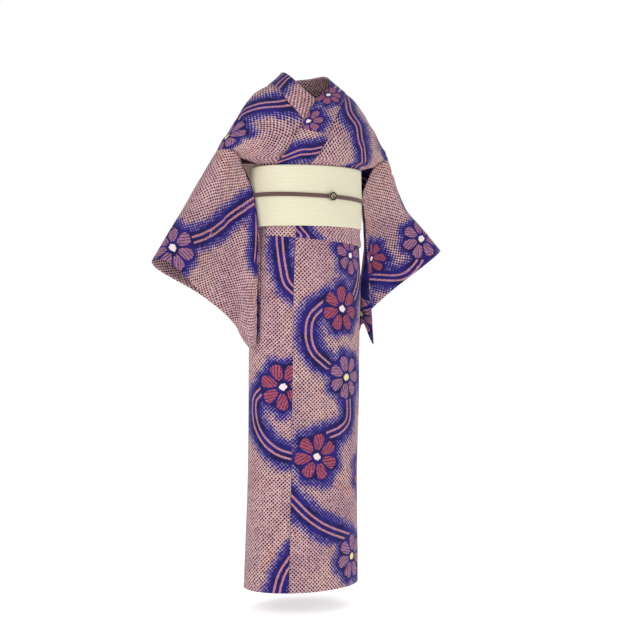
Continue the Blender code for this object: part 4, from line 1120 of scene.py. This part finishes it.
def dyed_cotton(name, colours):
    """Resist-dyed cotton: dark tied dots on a pale rose ground, running into indigo round blossoms and stems."""
    material, n, shader = shell_finish(name, 0.90, 0.06)
    cloth = n.cloth()
    vine, flower, past = n.parts(n.attribute("halo"))
    place = n.attribute("place")
    tint = n.parts(place)[2]
    dots = place_group(n, "Tied dots", dot_lattice_group, Cloth=cloth)
    weave = place_group(n, "Plain weave", plain_weave_group, Cloth=cloth)
    blossom = place_group(n, "Blossom", blossom_group, Place=place)

    # How near the dye is: 1 and more inside the indigo bands, 0 on the open ground
    scallop = n.waver(cloth, 0.016, 62.0, 2.0, 0.6)
    cloud = n.waver(cloth, 0.030, 13.0, 1.0)
    from_vine = n.minus(n.plus(vine, scallop), BAND_HALF)
    lobe = n.times(n.plus(blossom["Lobe"], 0.2), 0.0052)
    from_flower = n.minus(n.plus(flower, n.times(scallop, 0.7)), lobe)
    nearest = n.math("MINIMUM", from_vine, from_flower)
    band = n.ramp(nearest, -0.001, 0.004, 1.0, 0.0)
    spread = n.ramp(n.plus(nearest, cloud), -0.002, 0.032, 1.0, 0.0)

    # Open ground, warm with rose and orange clouds, cooler and paler towards the dye
    broad = n.noise(cloth, 7.0, 2.0, 0.6)
    fine = n.noise(cloth, 260.0, 2.0, 0.7)
    ground = n.mix(n.ramp(broad, 0.36, 0.64), colours["ground"], colours["ground_warm"])
    ground = n.mix(n.ramp(dots["Dot value"], 0.70, 1.0, 0.0, 0.50), ground, colours["ground_orange"])
    ground = n.mix(n.ramp(n.noise(cloth, 12.0, 3.0, 0.6), 0.54, 0.68, 0.0, 0.50), ground, colours["ground_orange"])
    ground = n.mix(n.ramp(n.noise(cloth, 8.0, 2.0, 0.6), 0.54, 0.36, 0.0, 0.45), ground, colours["ground_shade"])
    ground = n.mix(n.ramp(fine, 0.48, 0.66, 0.0, 0.60), ground, colours["ground_pale"])
    ground = n.mix(n.ramp(dots["Line"], 0.50, 0.40, 0.30, 0.0), ground, colours["ground_shade"])
    cool = n.mix(n.ramp(dots["Dot value"], 0.2, 0.9), colours["net_pale"], colours["net_blue"])
    ground = n.mix(n.times(spread, 0.95), ground, cool)

    # Dots: each a dark spot that grows until the cloth between is a thin pale net
    size = n.plus(n.ramp(dots["Dot value"], 0.0, 1.0, 0.00215, 0.00270), n.times(spread, 0.0018))
    edge = n.plus(n.minus(dots["Distance"], size), n.times(n.minus(fine, 0.5), 0.0010))
    spot = n.ramp(edge, -0.0003, 0.0006, 1.0, 0.0)
    spot_colour = n.mix(n.ramp(dots["Dot value"], 0.45, 0.95), colours["spot"], colours["spot_blue"])
    spot_colour = n.mix(n.ramp(spread, 0.0, 0.5), spot_colour, colours["indigo"])
    base = n.mix(n.times(spot, n.ramp(fine, 0.28, 0.55, 0.84, 1.0)), ground, spot_colour)

    # Solid dye in the bands, and the stems as two pale lines in them
    deep = n.mix(n.ramp(n.noise(cloth, 24.0, 2.0), 0.35, 0.66), colours["indigo"], colours["navy"])
    deep = n.mix(n.ramp(fine, 0.56, 0.80, 0.0, 0.5), deep, colours["ultramarine"])
    base = n.mix(band, base, deep)
    wobble = n.waver(cloth, 0.0022, 110.0)
    off_line = n.math("ABSOLUTE", n.minus(n.plus(vine, wobble), STEM_LINE))
    stem = n.times(n.ramp(off_line, 0.0022, 0.0033, 1.0, 0.0), n.ramp(flower, 0.001, 0.004))
    stem = n.times(stem, n.ramp(past, 0.25, 0.75, 1.0, 0.0))
    stem_colour = n.mix(n.ramp(n.noise(cloth, 300.0, 1.0), 0.40, 0.62), colours["stem"], colours["stem_deep"])
    base = n.mix(stem, base, stem_colour)

    # Blossoms
    petal_colour = n.mix(tint, colours["crimson"], colours["mauve"])
    light_petal = n.mix(tint, colours["crimson_light"], colours["mauve_light"])
    petal_colour = n.mix(n.ramp(fine, 0.46, 0.66, 0.0, 0.75), petal_colour, light_petal)
    hatching = n.mix(tint, colours["hatch"], colours["hatch_mauve"])
    petal_colour = n.mix(n.times(blossom["Hatch"], 0.92), petal_colour, hatching)
    petal_colour = n.mix(blossom["Cut"], petal_colour, colours["navy"])
    inside = n.ramp(flower, 0.0, 0.002, 1.0, 0.0)
    base = n.mix(n.times(blossom["Petal"], inside), base, petal_colour)
    middle_colour = n.mix(n.ramp(tint, 0.82, 0.88), colours["middle"], colours["middle_yellow"])
    base = n.mix(n.times(blossom["Middle"], inside), base, middle_colour)
    n.put(base, shader.inputs["Base Color"])

    raised = n.times(n.minus(1.0, spot), 0.5)
    height = n.plus(n.times(weave["Height"], 0.35), n.times(raised, n.minus(1.0, band)))
    bump(n, shader, height, 0.0005, 0.55)
    n.put(n.ramp(weave["Fleck"], 0.3, 0.7, 0.82, 0.94), shader.inputs["Roughness"])
    return material


def belt_weave(name, colours):
    """Cream belt cloth, woven with fine ribs that swell and sink along the belt, with painted shade in the furrows
    between them.
    """
    material, n, shader = shell_finish(name, 0.74, 0.08)
    cloth = n.cloth()
    x, y, _ = n.parts(cloth)
    weave = place_group(n, "Plain weave", plain_weave_group, Cloth=cloth, Threads_per_metre=1250.0)
    wander = n.waver(cloth, 0.0006, 30.0, 1.0)
    rib = n.math("SINE", n.times(n.plus(y, wander), 2.0 * math.pi / RIB_PITCH))
    short = n.math("SINE", n.times(x, 2.0 * math.pi / RIB_LENGTH))
    step = n.times(rib, n.plus(0.75, n.times(short, 0.25)))
    slub = n.add("ShaderNodeMapping", vector_type="POINT")
    n.put(cloth, slub.inputs["Vector"])
    slub.inputs["Scale"].default_value = (14.0, 420.0, 1.0)
    streak = n.noise(slub.outputs[0], 1.0, 2.0, 0.6)
    # Painted shade: the furrows between the ribs take the darker belt colour.
    colour = n.mix(n.ramp(step, -0.9, 0.5), colours["belt_shade"], colours["belt"])
    colour = n.mix(n.ramp(streak, 0.54, 0.74, 0.0, 0.6), colour, colours["belt_light"])
    colour = n.mix(n.ramp(n.noise(cloth, 6.0, 1.0), 0.35, 0.70, 0.0, 0.35), colour, colours["belt_warm"])
    n.put(colour, shader.inputs["Base Color"])
    height = n.plus(n.times(step, 0.6), n.times(weave["Height"], 0.4))
    bump(n, shader, n.plus(height, n.times(streak, 0.4)), 0.0006, 0.6)
    n.put(n.ramp(streak, 0.3, 0.7, 0.64, 0.78), shader.inputs["Roughness"])
    return material


def braid(name, colours):
    """Flat silk braid in brown with a mauve strand, with painted shade in the grooves between its strands."""
    material, n, shader = shell_finish(name, 0.62, 0.2)
    cloth = n.cloth()
    x, y, _ = n.parts(cloth)
    left = n.math("SINE", n.times(n.plus(x, n.times(y, 0.8)), 2.0 * math.pi / PLAIT_PITCH))
    right = n.math("SINE", n.times(n.minus(x, n.times(y, 0.8)), 2.0 * math.pi / PLAIT_PITCH))
    plait = n.math("MAXIMUM", left, right)
    # Painted shade: the grooves between the strands take the darker cord colour.
    colour = n.mix(n.ramp(plait, 0.1, 0.9), colours["cord_dark"], colours["cord"])
    colour = n.mix(n.ramp(n.noise(cloth, 500.0, 1.0), 0.5, 0.7, 0.0, 0.6), colour, colours["cord_light"])
    n.put(colour, shader.inputs["Base Color"])
    bump(n, shader, plait, 0.0006, 0.7)
    n.put(n.ramp(plait, 0.0, 1.0, 0.75, 0.55), shader.inputs["Roughness"])
    return material


def bronze(name, colours):
    """Darkened bronze, rubbed bright on what stands up."""
    material, n, shader = new_finish(name, {"Metallic": 0.9})
    point = n.add("ShaderNodeTexCoord").outputs["Object"]
    worn = n.add("ShaderNodeNewGeometry").outputs["Pointiness"]
    patch = n.noise(point, 260.0, 3.0, 0.6)
    rub = n.plus(n.ramp(worn, 0.50, 0.58, 0.0, 0.7), n.ramp(patch, 0.55, 0.75, 0.0, 0.15), clamp=True)
    n.put(n.mix(rub, colours["bronze_dark"], colours["bronze_bright"]), shader.inputs["Base Color"])
    n.put(n.ramp(patch, 0.3, 0.7, 0.30, 0.50), shader.inputs["Roughness"])
    bump(n, shader, patch, 0.0003, 0.5)
    return material


def bright_bronze(name, colours):
    """The clasp's rosette, rubbed bright in patches."""
    material, n, shader = new_finish(name, {"Metallic": 0.9})
    point = n.add("ShaderNodeTexCoord").outputs["Object"]
    patch = n.noise(point, 420.0, 3.0, 0.6)
    colour = n.mix(n.ramp(patch, 0.42, 0.56), colours["bronze_dark"], colours["bronze_bright"])
    n.put(colour, shader.inputs["Base Color"])
    n.put(n.ramp(patch, 0.3, 0.7, 0.34, 0.50), shader.inputs["Roughness"])
    return material


# Belt, knot and cord

def belt_rows(spacing):
    """The belt's rows from its upper to its lower edge."""
    count, around = max(8, int(round((BELT_TOP - BELT_BOTTOM) / spacing))), 180
    ring = [body_point(360.0 * i / around, WAIST_LEVEL, BELT_OFFSET + BELT_WALL / 2) for i in range(around)]
    rows = []
    for i in range(count + 1):
        share = i / count
        height = BELT_TOP + (BELT_BOTTOM - BELT_TOP) * share
        soft = 0.0010 * math.sin(math.pi * share) - 0.0006
        row = []
        for k, point in enumerate(ring):
            turn = 2.0 * math.pi * k / around
            swell = soft + 0.0005 * math.sin(3 * turn + 4 * share) * math.sin(math.pi * share)
            out = np.array((point[0], point[1] * 1.6, 0.0))
            out = out / np.linalg.norm(out)
            row.append(np.array((point[0], point[1], height)) + out * swell)
        rows.append(row)
    return np.array(rows)


def drum_rows(spacing):
    """The knot's rows from the wearer's right to the left, each going once round the drum."""
    count = len(DRUM)
    closed = [np.array(DRUM[i % count]) for i in range(-2, count + 3)]
    knots = list(range(-2, count + 3))
    loop = [curve_through(knots, closed, i / 8.0) for i in range(count * 8)]
    across = max(10, int(round(2 * DRUM_HALF_WIDTH / spacing)))
    rows = []
    for j in range(across + 1):
        x = -DRUM_HALF_WIDTH + 2.0 * DRUM_HALF_WIDTH * j / across
        round_off = 0.006 * (x / DRUM_HALF_WIDTH) ** 2
        rows.append([np.array((x, y - round_off * ramp(y, 0.15, 0.20), z)) for y, z in loop])
    return np.array(rows)


def tail_rows(spacing):
    """The belt's end below the knot."""
    across, down = (int(side / spacing) for side in CUTS["obi_tail"])
    rows = []
    for i in range(down + 1):
        height = -0.360 - (TAIL_DROP + 0.052) * i / down
        rows.append([np.array(((DRUM_HALF_WIDTH - 0.004) * (-1.0 + 2.0 * j / across),
                               TAIL_BEHIND + 0.004 * ramp(-height, 0.42, 0.50), height)) for j in range(across + 1)])
    return np.array(rows)


def cord_sections(count, around):
    """Flat sections of the cord on its way round the belt and through the knot."""
    sections = []
    base = BELT_OFFSET + BELT_WALL + SEAM + CORD_DEPTH / 2
    for i in range(count):
        angle = 360.0 * i / count
        left_share = 0.5 + 0.5 * math.cos(math.radians(angle))
        height = CORD_RIGHT + (CORD_LEFT - CORD_RIGHT) * left_share
        centre = body_point(angle, WAIST_LEVEL, base)
        if 0.0 < angle < 180.0:
            half_width = body_point(0.0, WAIST_LEVEL, base)[0]
            centre[0] = half_width * math.copysign(abs(math.cos(math.radians(angle))) ** CORD_SQUARE, centre[0])
            centre[1] = CORD_BEHIND * math.sin(math.radians(angle)) ** CORD_SQUARE
        outer = body_point(angle, WAIST_LEVEL, base + 1.0)
        outward = (outer - centre) / np.linalg.norm(outer - centre)
        ring = []
        for k in range(around):
            turn = 2.0 * math.pi * k / around
            c, s = math.cos(turn), math.sin(turn)
            flat = math.copysign(abs(c) ** 0.7, c), math.copysign(abs(s) ** 0.8, s)
            point = centre + outward * (CORD_DEPTH / 2 * flat[0])
            ring.append(np.array((point[0], point[1], height + CORD_HEIGHT / 2 * flat[1])))
        sections.append(ring)
    return np.array(sections)


# What a user would change

class YukataCloth(bpy.types.PropertyGroup):
    wall: bpy.props.FloatProperty(name="Cloth thickness", description="Thickness of the robe's cotton", default=WALL,
                                  min=0.0005, max=0.003, unit="LENGTH")
    spacing: bpy.props.FloatProperty(name="Mesh spacing", description="Distance between mesh points on the cloth",
                                     default=0.006, min=0.004, max=0.03, unit="LENGTH")
    crease: bpy.props.FloatProperty(name="Crease depth", description="1 gives the creases as worn, 0 smooth cloth",
                                    default=1.0, min=0.0, max=1.5, subtype="FACTOR")
    drift: bpy.props.FloatProperty(name="Unevenness", description="Height of the slow waves all over the cloth",
                                   default=0.0005, min=0.0, max=0.002, unit="LENGTH")


class YukataBelt(bpy.types.PropertyGroup):
    wall: bpy.props.FloatProperty(name="Belt thickness", description="Thickness of the double-woven belt",
                                  default=BELT_WALL, min=0.001, max=0.005, unit="LENGTH")
    spacing: bpy.props.FloatProperty(name="Mesh spacing", description="Distance between mesh points on the belt",
                                     default=0.005, min=0.003, max=0.02, unit="LENGTH")
    clasp_radius: bpy.props.FloatProperty(name="Clasp radius", description="Radius of the round clasp on the cord",
                                          default=ORNAMENT_RADIUS, min=0.006, max=0.02, unit="LENGTH")


def colour(label, use, value):
    """A colour that a user can change."""
    return bpy.props.FloatVectorProperty(name=label, description=use, default=value, subtype="COLOR", size=3,
                                         min=0.0, max=1.0)


class YukataColours(bpy.types.PropertyGroup):
    ground: colour("Ground", "Rose ground of the cotton", (0.650, 0.370, 0.400))
    ground_warm: colour("Warm ground", "Ground where it is warmer", (0.720, 0.440, 0.410))
    ground_orange: colour("Orange ground", "Ground round some of the dots", (0.720, 0.270, 0.170))
    ground_pale: colour("Pale ground", "Undyed threads in the ground", (0.880, 0.740, 0.780))
    ground_shade: colour("Ground lines", "Faint lines between the dots", (0.360, 0.170, 0.240))
    net_pale: colour("Pale net", "Cloth between the dots near the dye", (0.480, 0.400, 0.560))
    net_blue: colour("Blue net", "The same, deeper in the dye", (0.130, 0.120, 0.380))
    spot: colour("Dots", "Tied dots", (0.030, 0.008, 0.026))
    spot_blue: colour("Blue dots", "Some of the dots", (0.014, 0.009, 0.070))
    indigo: colour("Indigo", "Solid dye round the blossoms", (0.022, 0.012, 0.175))
    navy: colour("Navy", "The dye where it is darkest", (0.008, 0.005, 0.060))
    ultramarine: colour("Ultramarine", "The dye where it is lightest", (0.050, 0.036, 0.340))
    stem: colour("Stems", "Pale lines of the stems", (0.560, 0.270, 0.320))
    stem_deep: colour("Deep stems", "The same where they are darker", (0.340, 0.130, 0.200))
    crimson: colour("Crimson", "Petals of the red blossoms", (0.350, 0.060, 0.110))
    crimson_light: colour("Light crimson", "Threads in the red petals", (0.490, 0.150, 0.180))
    mauve: colour("Mauve", "Petals of the mauve blossoms", (0.330, 0.160, 0.270))
    mauve_light: colour("Light mauve", "Threads in the mauve petals", (0.480, 0.280, 0.380))
    hatch: colour("Red hatching", "Lines on the red petals", (0.050, 0.010, 0.080))
    hatch_mauve: colour("Mauve hatching", "Lines on the mauve petals", (0.045, 0.020, 0.110))
    middle: colour("Middle", "Middle of a blossom", (0.913, 0.753, 0.753))
    middle_yellow: colour("Yellow middle", "Middle of some of the mauve blossoms", (0.871, 0.753, 0.305))
    belt: colour("Belt", "Cream of the belt", (0.860, 0.815, 0.630))
    # Painted shade: the colour of the furrows between the belt's ribs.
    belt_shade: colour("Belt furrows", "Between the belt's ribs", (0.730, 0.680, 0.480))
    belt_light: colour("Belt highlights", "Lighter threads of the belt", (0.900, 0.865, 0.700))
    belt_warm: colour("Warm belt", "Belt where it is warmer", (0.800, 0.740, 0.540))
    cord: colour("Cord", "Brown of the cord", (0.150, 0.078, 0.068))
    # Painted shade: the colour of the grooves between the cord's strands.
    cord_dark: colour("Dark cord", "Between the cord's strands", (0.071, 0.032, 0.032))
    cord_light: colour("Light cord", "Mauve threads of the cord", (0.300, 0.180, 0.180))
    bronze_dark: colour("Dark bronze", "Clasp, darkened", (0.014, 0.010, 0.008))
    bronze_bright: colour("Bright bronze", "Clasp, where it is rubbed", (0.700, 0.620, 0.470))


def colours():
    """The colours as they are set now, by name."""
    chosen = bpy.context.scene.yukata_colours
    return {name: tuple(getattr(chosen, name)) for name in YukataColours.__annotations__}


def finish(name, maker):
    """The material of a name, made the first time it is asked for."""
    return bpy.data.materials.get(name) or maker(name, colours())


def dressed(obj, node):
    """Declares what a piece rides on and replaces."""
    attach(obj, "root")
    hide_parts(node)


def cotton_piece(name, points, from_last, wall, ring=False, web_from=None):
    """One piece of the robe: its grid creased, its pattern laid on, its shell made, and put in place of its part."""
    settings = bpy.context.scene.yukata_cloth
    cloth = sleeve_coordinates(points) if ring else cloth_coordinates(points, from_last)
    creases = [(*c[:5], c[5] * settings.crease) for c in CREASES.get(name, ())]
    if ring:
        creases += [(-u0, v0, -u1, v1, half, -height) for u0, v0, u1, v1, half, height in creases]
    seed = 1.0 + sorted(CUTS).index(name)
    shaped = creased(points, cloth, creases, settings.drift, seed, tucked=name.startswith(("body", "okumi")))
    motifs = motif_fields(cloth, BLOSSOMS.get(name, ()), STEMS.get(name, ()))
    material = finish("cotton_resist_dyed", dyed_cotton)
    obj = cloth_shell(name + "_cloth", shaped, cloth, wall, material, ring=ring, motifs=motifs, web_from=web_from)
    dressed(obj, name)


def belt_piece(name, points, cloth, ring=False):
    """One piece of the belt: its shell made, and put in place of its part."""
    wall = bpy.context.scene.yukata_belt.wall
    obj = cloth_shell(name + "_cloth", points, cloth, wall, finish("belt_ribbed", belt_weave), ring=ring)
    dressed(obj, name)


class YUKATA_OT_body_panels(bpy.types.Operator):
    """Make the two body panels, each from the front hem over the shoulder to the back hem"""
    bl_idname = "yukata.body_panels"
    bl_label = "Body panels"

    def execute(self, context):
        settings = context.scene.yukata_cloth
        for name, side in (("body_left", 1), ("body_right", -1)):
            cotton_piece(name, refine(body_rows(side), settings.spacing), True, settings.wall)
        return {"FINISHED"}


class YUKATA_OT_narrow_panels(bpy.types.Operator):
    """Make the two narrow front panels between the body panels and the collar"""
    bl_idname = "yukata.narrow_panels"
    bl_label = "Narrow front panels"

    def execute(self, context):
        settings = context.scene.yukata_cloth
        for name, side in (("okumi_left", 1), ("okumi_right", -1)):
            cotton_piece(name, refine(narrow_rows(side), settings.spacing), True, settings.wall)
        return {"FINISHED"}


class YUKATA_OT_collar(bpy.types.Operator):
    """Make the collar and the over-collar that lies on the middle of it"""
    bl_idname = "yukata.collar"
    bl_label = "Collar"

    def execute(self, context):
        settings = context.scene.yukata_cloth
        cotton_piece("collar", refine(collar_grid(), settings.spacing), False, COLLAR_WALL)
        cotton_piece("over_collar", refine(over_collar_grid(), settings.spacing), False, COVER_WALL)
        return {"FINISHED"}


class YUKATA_OT_sleeves(bpy.types.Operator):
    """Make the two sleeves, open at the body and at the upper cuff"""
    bl_idname = "yukata.sleeves"
    bl_label = "Sleeves"

    def execute(self, context):
        settings = context.scene.yukata_cloth
        for name, table, side in (("sleeve_left", LEFT_SLEEVE, 1), ("sleeve_right", RIGHT_SLEEVE, -1)):
            coarse = sleeve_grid(table, side)
            points = refine(coarse, settings.spacing)
            shut = [i for i, (down, face) in enumerate(sleeve_loop())
                    if face < 0 and down >= CUFF_OPEN / SLEEVE_DEPTH - 1e-6]
            corner = coarse[-1][max(shut)]
            web_from = int(np.argmin(np.linalg.norm(points[-1] - corner, axis=1)))
            web_from = min(web_from, points.shape[1] - 1 - web_from)
            points = drawn_in(points, side, SLEEVE_DRAWN_IN[side])
            cotton_piece(name, points, False, settings.wall, ring=True, web_from=web_from)
        return {"FINISHED"}


class YUKATA_OT_belt(bpy.types.Operator):
    """Make the belt where it goes round the waist"""
    bl_idname = "yukata.belt"
    bl_label = "Belt"

    def execute(self, context):
        points = belt_rows(context.scene.yukata_belt.spacing)
        belt_piece("obi_wrap", points, cloth_coordinates(points, False), ring=True)
        return {"FINISHED"}


class YUKATA_OT_knot(bpy.types.Operator):
    """Make the drum knot behind and the belt's end that hangs below it"""
    bl_idname = "yukata.knot"
    bl_label = "Knot"

    def execute(self, context):
        spacing = context.scene.yukata_belt.spacing
        points = drum_rows(spacing)
        belt_piece("obi_drum", points, cloth_coordinates(points, False)[..., ::-1], ring=True)
        points = tail_rows(spacing)
        belt_piece("obi_tail", points, cloth_coordinates(points, False))
        return {"FINISHED"}


class YUKATA_OT_cord(bpy.types.Operator):
    """Make the flat braided cord round the belt"""
    bl_idname = "yukata.cord"
    bl_label = "Cord"

    def execute(self, context):
        sections = cord_sections(CORD_ROWS, CORD_SIDES)
        count, around = sections.shape[:2]
        centre = sections.mean(axis=1)
        run = np.concatenate(((0.0,), np.cumsum(np.linalg.norm(np.diff(centre, axis=0), axis=1))))
        uv = np.stack((np.repeat(run[:, None], around, axis=1), sections[..., 2] - centre[:, None, 2]), axis=2)
        faces = []
        for i in range(count):
            for k in range(around):
                a, b = i * around, ((i + 1) % count) * around
                faces.append((a + k, a + (k + 1) % around, b + (k + 1) % around, b + k))
        obj = mesh_object("obi_cord_braid", sections.reshape(-1, 3), faces, uv.reshape(-1, 2), None, None,
                          finish("cord_plaited", braid))
        dressed(obj, "obi_cord")
        return {"FINISHED"}


class YUKATA_OT_clasp(bpy.types.Operator):
    """Make the small round clasp on the cord: a rim, a dished ground and a low rosette of seven lobes"""
    bl_idname = "yukata.clasp"
    bl_label = "Clasp"

    def execute(self, context):
        low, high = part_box("cord_ornament")
        middle = [(a + b) / 2 for a, b in zip(low, high)]
        radius = context.scene.yukata_belt.clasp_radius
        depth = high[1] - low[1]
        bpy.ops.object.select_all(action="DESELECT")
        bpy.ops.mesh.primitive_cylinder_add(vertices=56, radius=radius, depth=depth * 0.72,
                                            location=(middle[0], high[1] - depth * 0.36, middle[2]),
                                            rotation=(math.radians(90), 0, 0))
        plate = context.active_object
        plate.name = "cord_ornament_plate"
        bpy.ops.object.transform_apply(location=True, rotation=True, scale=True)
        bpy.ops.object.mode_set(mode="EDIT")
        bpy.ops.mesh.select_all(action="DESELECT")
        body = bmesh.from_edit_mesh(plate.data)
        for face in body.faces:
            face.select = face.normal.y < -0.9
        bmesh.update_edit_mesh(plate.data)
        bpy.ops.mesh.inset(thickness=radius * 0.15, depth=0.0)
        bpy.ops.mesh.inset(thickness=radius * 0.04, depth=-depth * 0.14)
        bpy.ops.mesh.inset(thickness=radius * 0.30, depth=depth * 0.12)
        bpy.ops.mesh.inset(thickness=radius * 0.30, depth=depth * 0.10)
        bpy.ops.object.mode_set(mode="OBJECT")
        parts = [plate]
        for k in range(PETALS):
            turn = 2.0 * math.pi * (k + 0.25) / PETALS
            place = (middle[0] + radius * 0.47 * math.cos(turn), high[1] - depth * 0.72,
                     middle[2] + radius * 0.47 * math.sin(turn))
            bpy.ops.mesh.primitive_uv_sphere_add(segments=14, ring_count=8, radius=radius * 0.19, location=place,
                                                 scale=(1.0, 0.70, 1.0))
            parts.append(context.active_object)
        for part in parts[1:]:
            part.data.materials.append(finish("clasp_bright", bright_bronze))
        place = (middle[0], high[1] - depth * 0.76, middle[2])
        bpy.ops.mesh.primitive_uv_sphere_add(segments=16, ring_count=10, radius=radius * 0.20, location=place,
                                             scale=(1.0, 0.65, 1.0))
        parts.append(context.active_object)
        plate.data.materials.append(finish("clasp_bronze", bronze))
        parts[-1].data.materials.append(finish("clasp_bronze", bronze))
        bpy.ops.object.select_all(action="DESELECT")
        for part in parts:
            part.select_set(True)
        context.view_layer.objects.active = plate
        bpy.ops.object.join()
        bpy.ops.object.transform_apply(location=True, rotation=True, scale=True)
        rounded = plate.modifiers.new("Edges", "BEVEL")
        rounded.width = radius * 0.035
        rounded.segments = 2
        bpy.ops.object.modifier_apply(modifier=rounded.name)
        bpy.ops.object.shade_smooth_by_angle(angle=math.radians(40))
        bpy.ops.object.select_all(action="DESELECT")
        dressed(plate, "cord_ornament")
        return {"FINISHED"}


class YUKATA_OT_stage(bpy.types.Operator):
    """Make the pale floor, the soft light and the camera"""
    bl_idname = "yukata.stage"
    bl_label = "Stage"

    def execute(self, context):
        scene = context.scene
        bpy.ops.object.select_all(action="DESELECT")
        bpy.ops.mesh.primitive_circle_add(vertices=96, radius=FLOOR_RADIUS, fill_type="NGON",
                                          location=(0, 0, HEM - FLOOR_BELOW_HEM))
        floor = context.active_object
        floor.name = "floor"
        grey = (FLOOR_GREY, FLOOR_GREY, FLOOR_GREY, 1.0)
        plain = new_finish("floor_white", {"Base Color": grey, "Roughness": 0.9, "Emission Color": WHITE,
                                           "Emission Strength": FLOOR_GLOW})
        floor.data.materials.append(plain[0])
        look = Vector((math.sin(CAMERA_TURN), math.cos(CAMERA_TURN), 0.0))
        right = Vector((math.cos(CAMERA_TURN), -math.sin(CAMERA_TURN), 0.0))
        aim = Vector((0.0, 0.0, CAMERA_HEIGHT)) + right * CAMERA_ASIDE
        lens = bpy.data.cameras.new("camera")
        lens.lens, lens.sensor_width = LENS, SENSOR
        camera = bpy.data.objects.new("camera", lens)
        camera.location = aim - look * CAMERA_DISTANCE
        camera.rotation_euler = (math.radians(90), 0.0, -CAMERA_TURN)
        scene.collection.objects.link(camera)
        scene.camera = camera
        for name, place, size, power in LAMPS:
            lamp = bpy.data.lights.new(name, "AREA")
            lamp.shape, lamp.size, lamp.energy = "DISK", size, power
            holder = bpy.data.objects.new(name, lamp)
            spot = right * place[0] - look * place[1] + Vector((0, 0, place[2]))
            holder.location = spot
            holder.rotation_euler = (aim - spot).to_track_quat("-Z", "Y").to_euler()
            scene.collection.objects.link(holder)
        world = bpy.data.worlds.new("studio")
        world.use_nodes = True
        nodes, links = world.node_tree.nodes, world.node_tree.links
        back = nodes["Background"]
        back.inputs["Color"].default_value = WHITE
        seen = nodes.new("ShaderNodeLightPath")
        level = nodes.new("ShaderNodeMapRange")
        level.inputs["To Min"].default_value = ROOM_LIGHT
        level.inputs["To Max"].default_value = 1.0
        links.new(seen.outputs["Is Camera Ray"], level.inputs["Value"])
        links.new(level.outputs[0], back.inputs["Strength"])
        scene.world = world
        scene.view_settings.view_transform = "Standard"
        return {"FINISHED"}


class YUKATA_PT_panel(bpy.types.Panel):
    """Sizes, colours and pieces of the yukata"""
    bl_label = "Yukata"
    bl_idname = "YUKATA_PT_panel"
    bl_space_type = "VIEW_3D"
    bl_region_type = "UI"
    bl_category = "Yukata"

    def draw(self, context):
        for settings in (context.scene.yukata_cloth, context.scene.yukata_belt, context.scene.yukata_colours):
            column = self.layout.column(align=True)
            for name in settings.__annotations__:
                column.prop(settings, name)
        for operator in OPERATORS:
            self.layout.operator(operator.bl_idname)


OPERATORS = (YUKATA_OT_stage, YUKATA_OT_body_panels, YUKATA_OT_narrow_panels, YUKATA_OT_collar, YUKATA_OT_sleeves,
             YUKATA_OT_belt, YUKATA_OT_knot, YUKATA_OT_cord, YUKATA_OT_clasp)
CLASSES = (YukataCloth, YukataBelt, YukataColours) + OPERATORS + (YUKATA_PT_panel,)


def register():
    for item in CLASSES:
        bpy.utils.register_class(item)
    bpy.types.Scene.yukata_cloth = bpy.props.PointerProperty(type=YukataCloth)
    bpy.types.Scene.yukata_belt = bpy.props.PointerProperty(type=YukataBelt)
    bpy.types.Scene.yukata_colours = bpy.props.PointerProperty(type=YukataColours)


def unregister():
    del bpy.types.Scene.yukata_cloth
    del bpy.types.Scene.yukata_belt
    del bpy.types.Scene.yukata_colours
    for item in reversed(CLASSES):
        bpy.utils.unregister_class(item)


def main():
    register()
    bpy.ops.yukata.stage()
    bpy.ops.yukata.body_panels()
    bpy.ops.yukata.narrow_panels()
    bpy.ops.yukata.collar()
    bpy.ops.yukata.sleeves()
    bpy.ops.yukata.belt()
    bpy.ops.yukata.knot()
    bpy.ops.yukata.cord()
    bpy.ops.yukata.clasp()


if __name__ == "__main__":
    main()
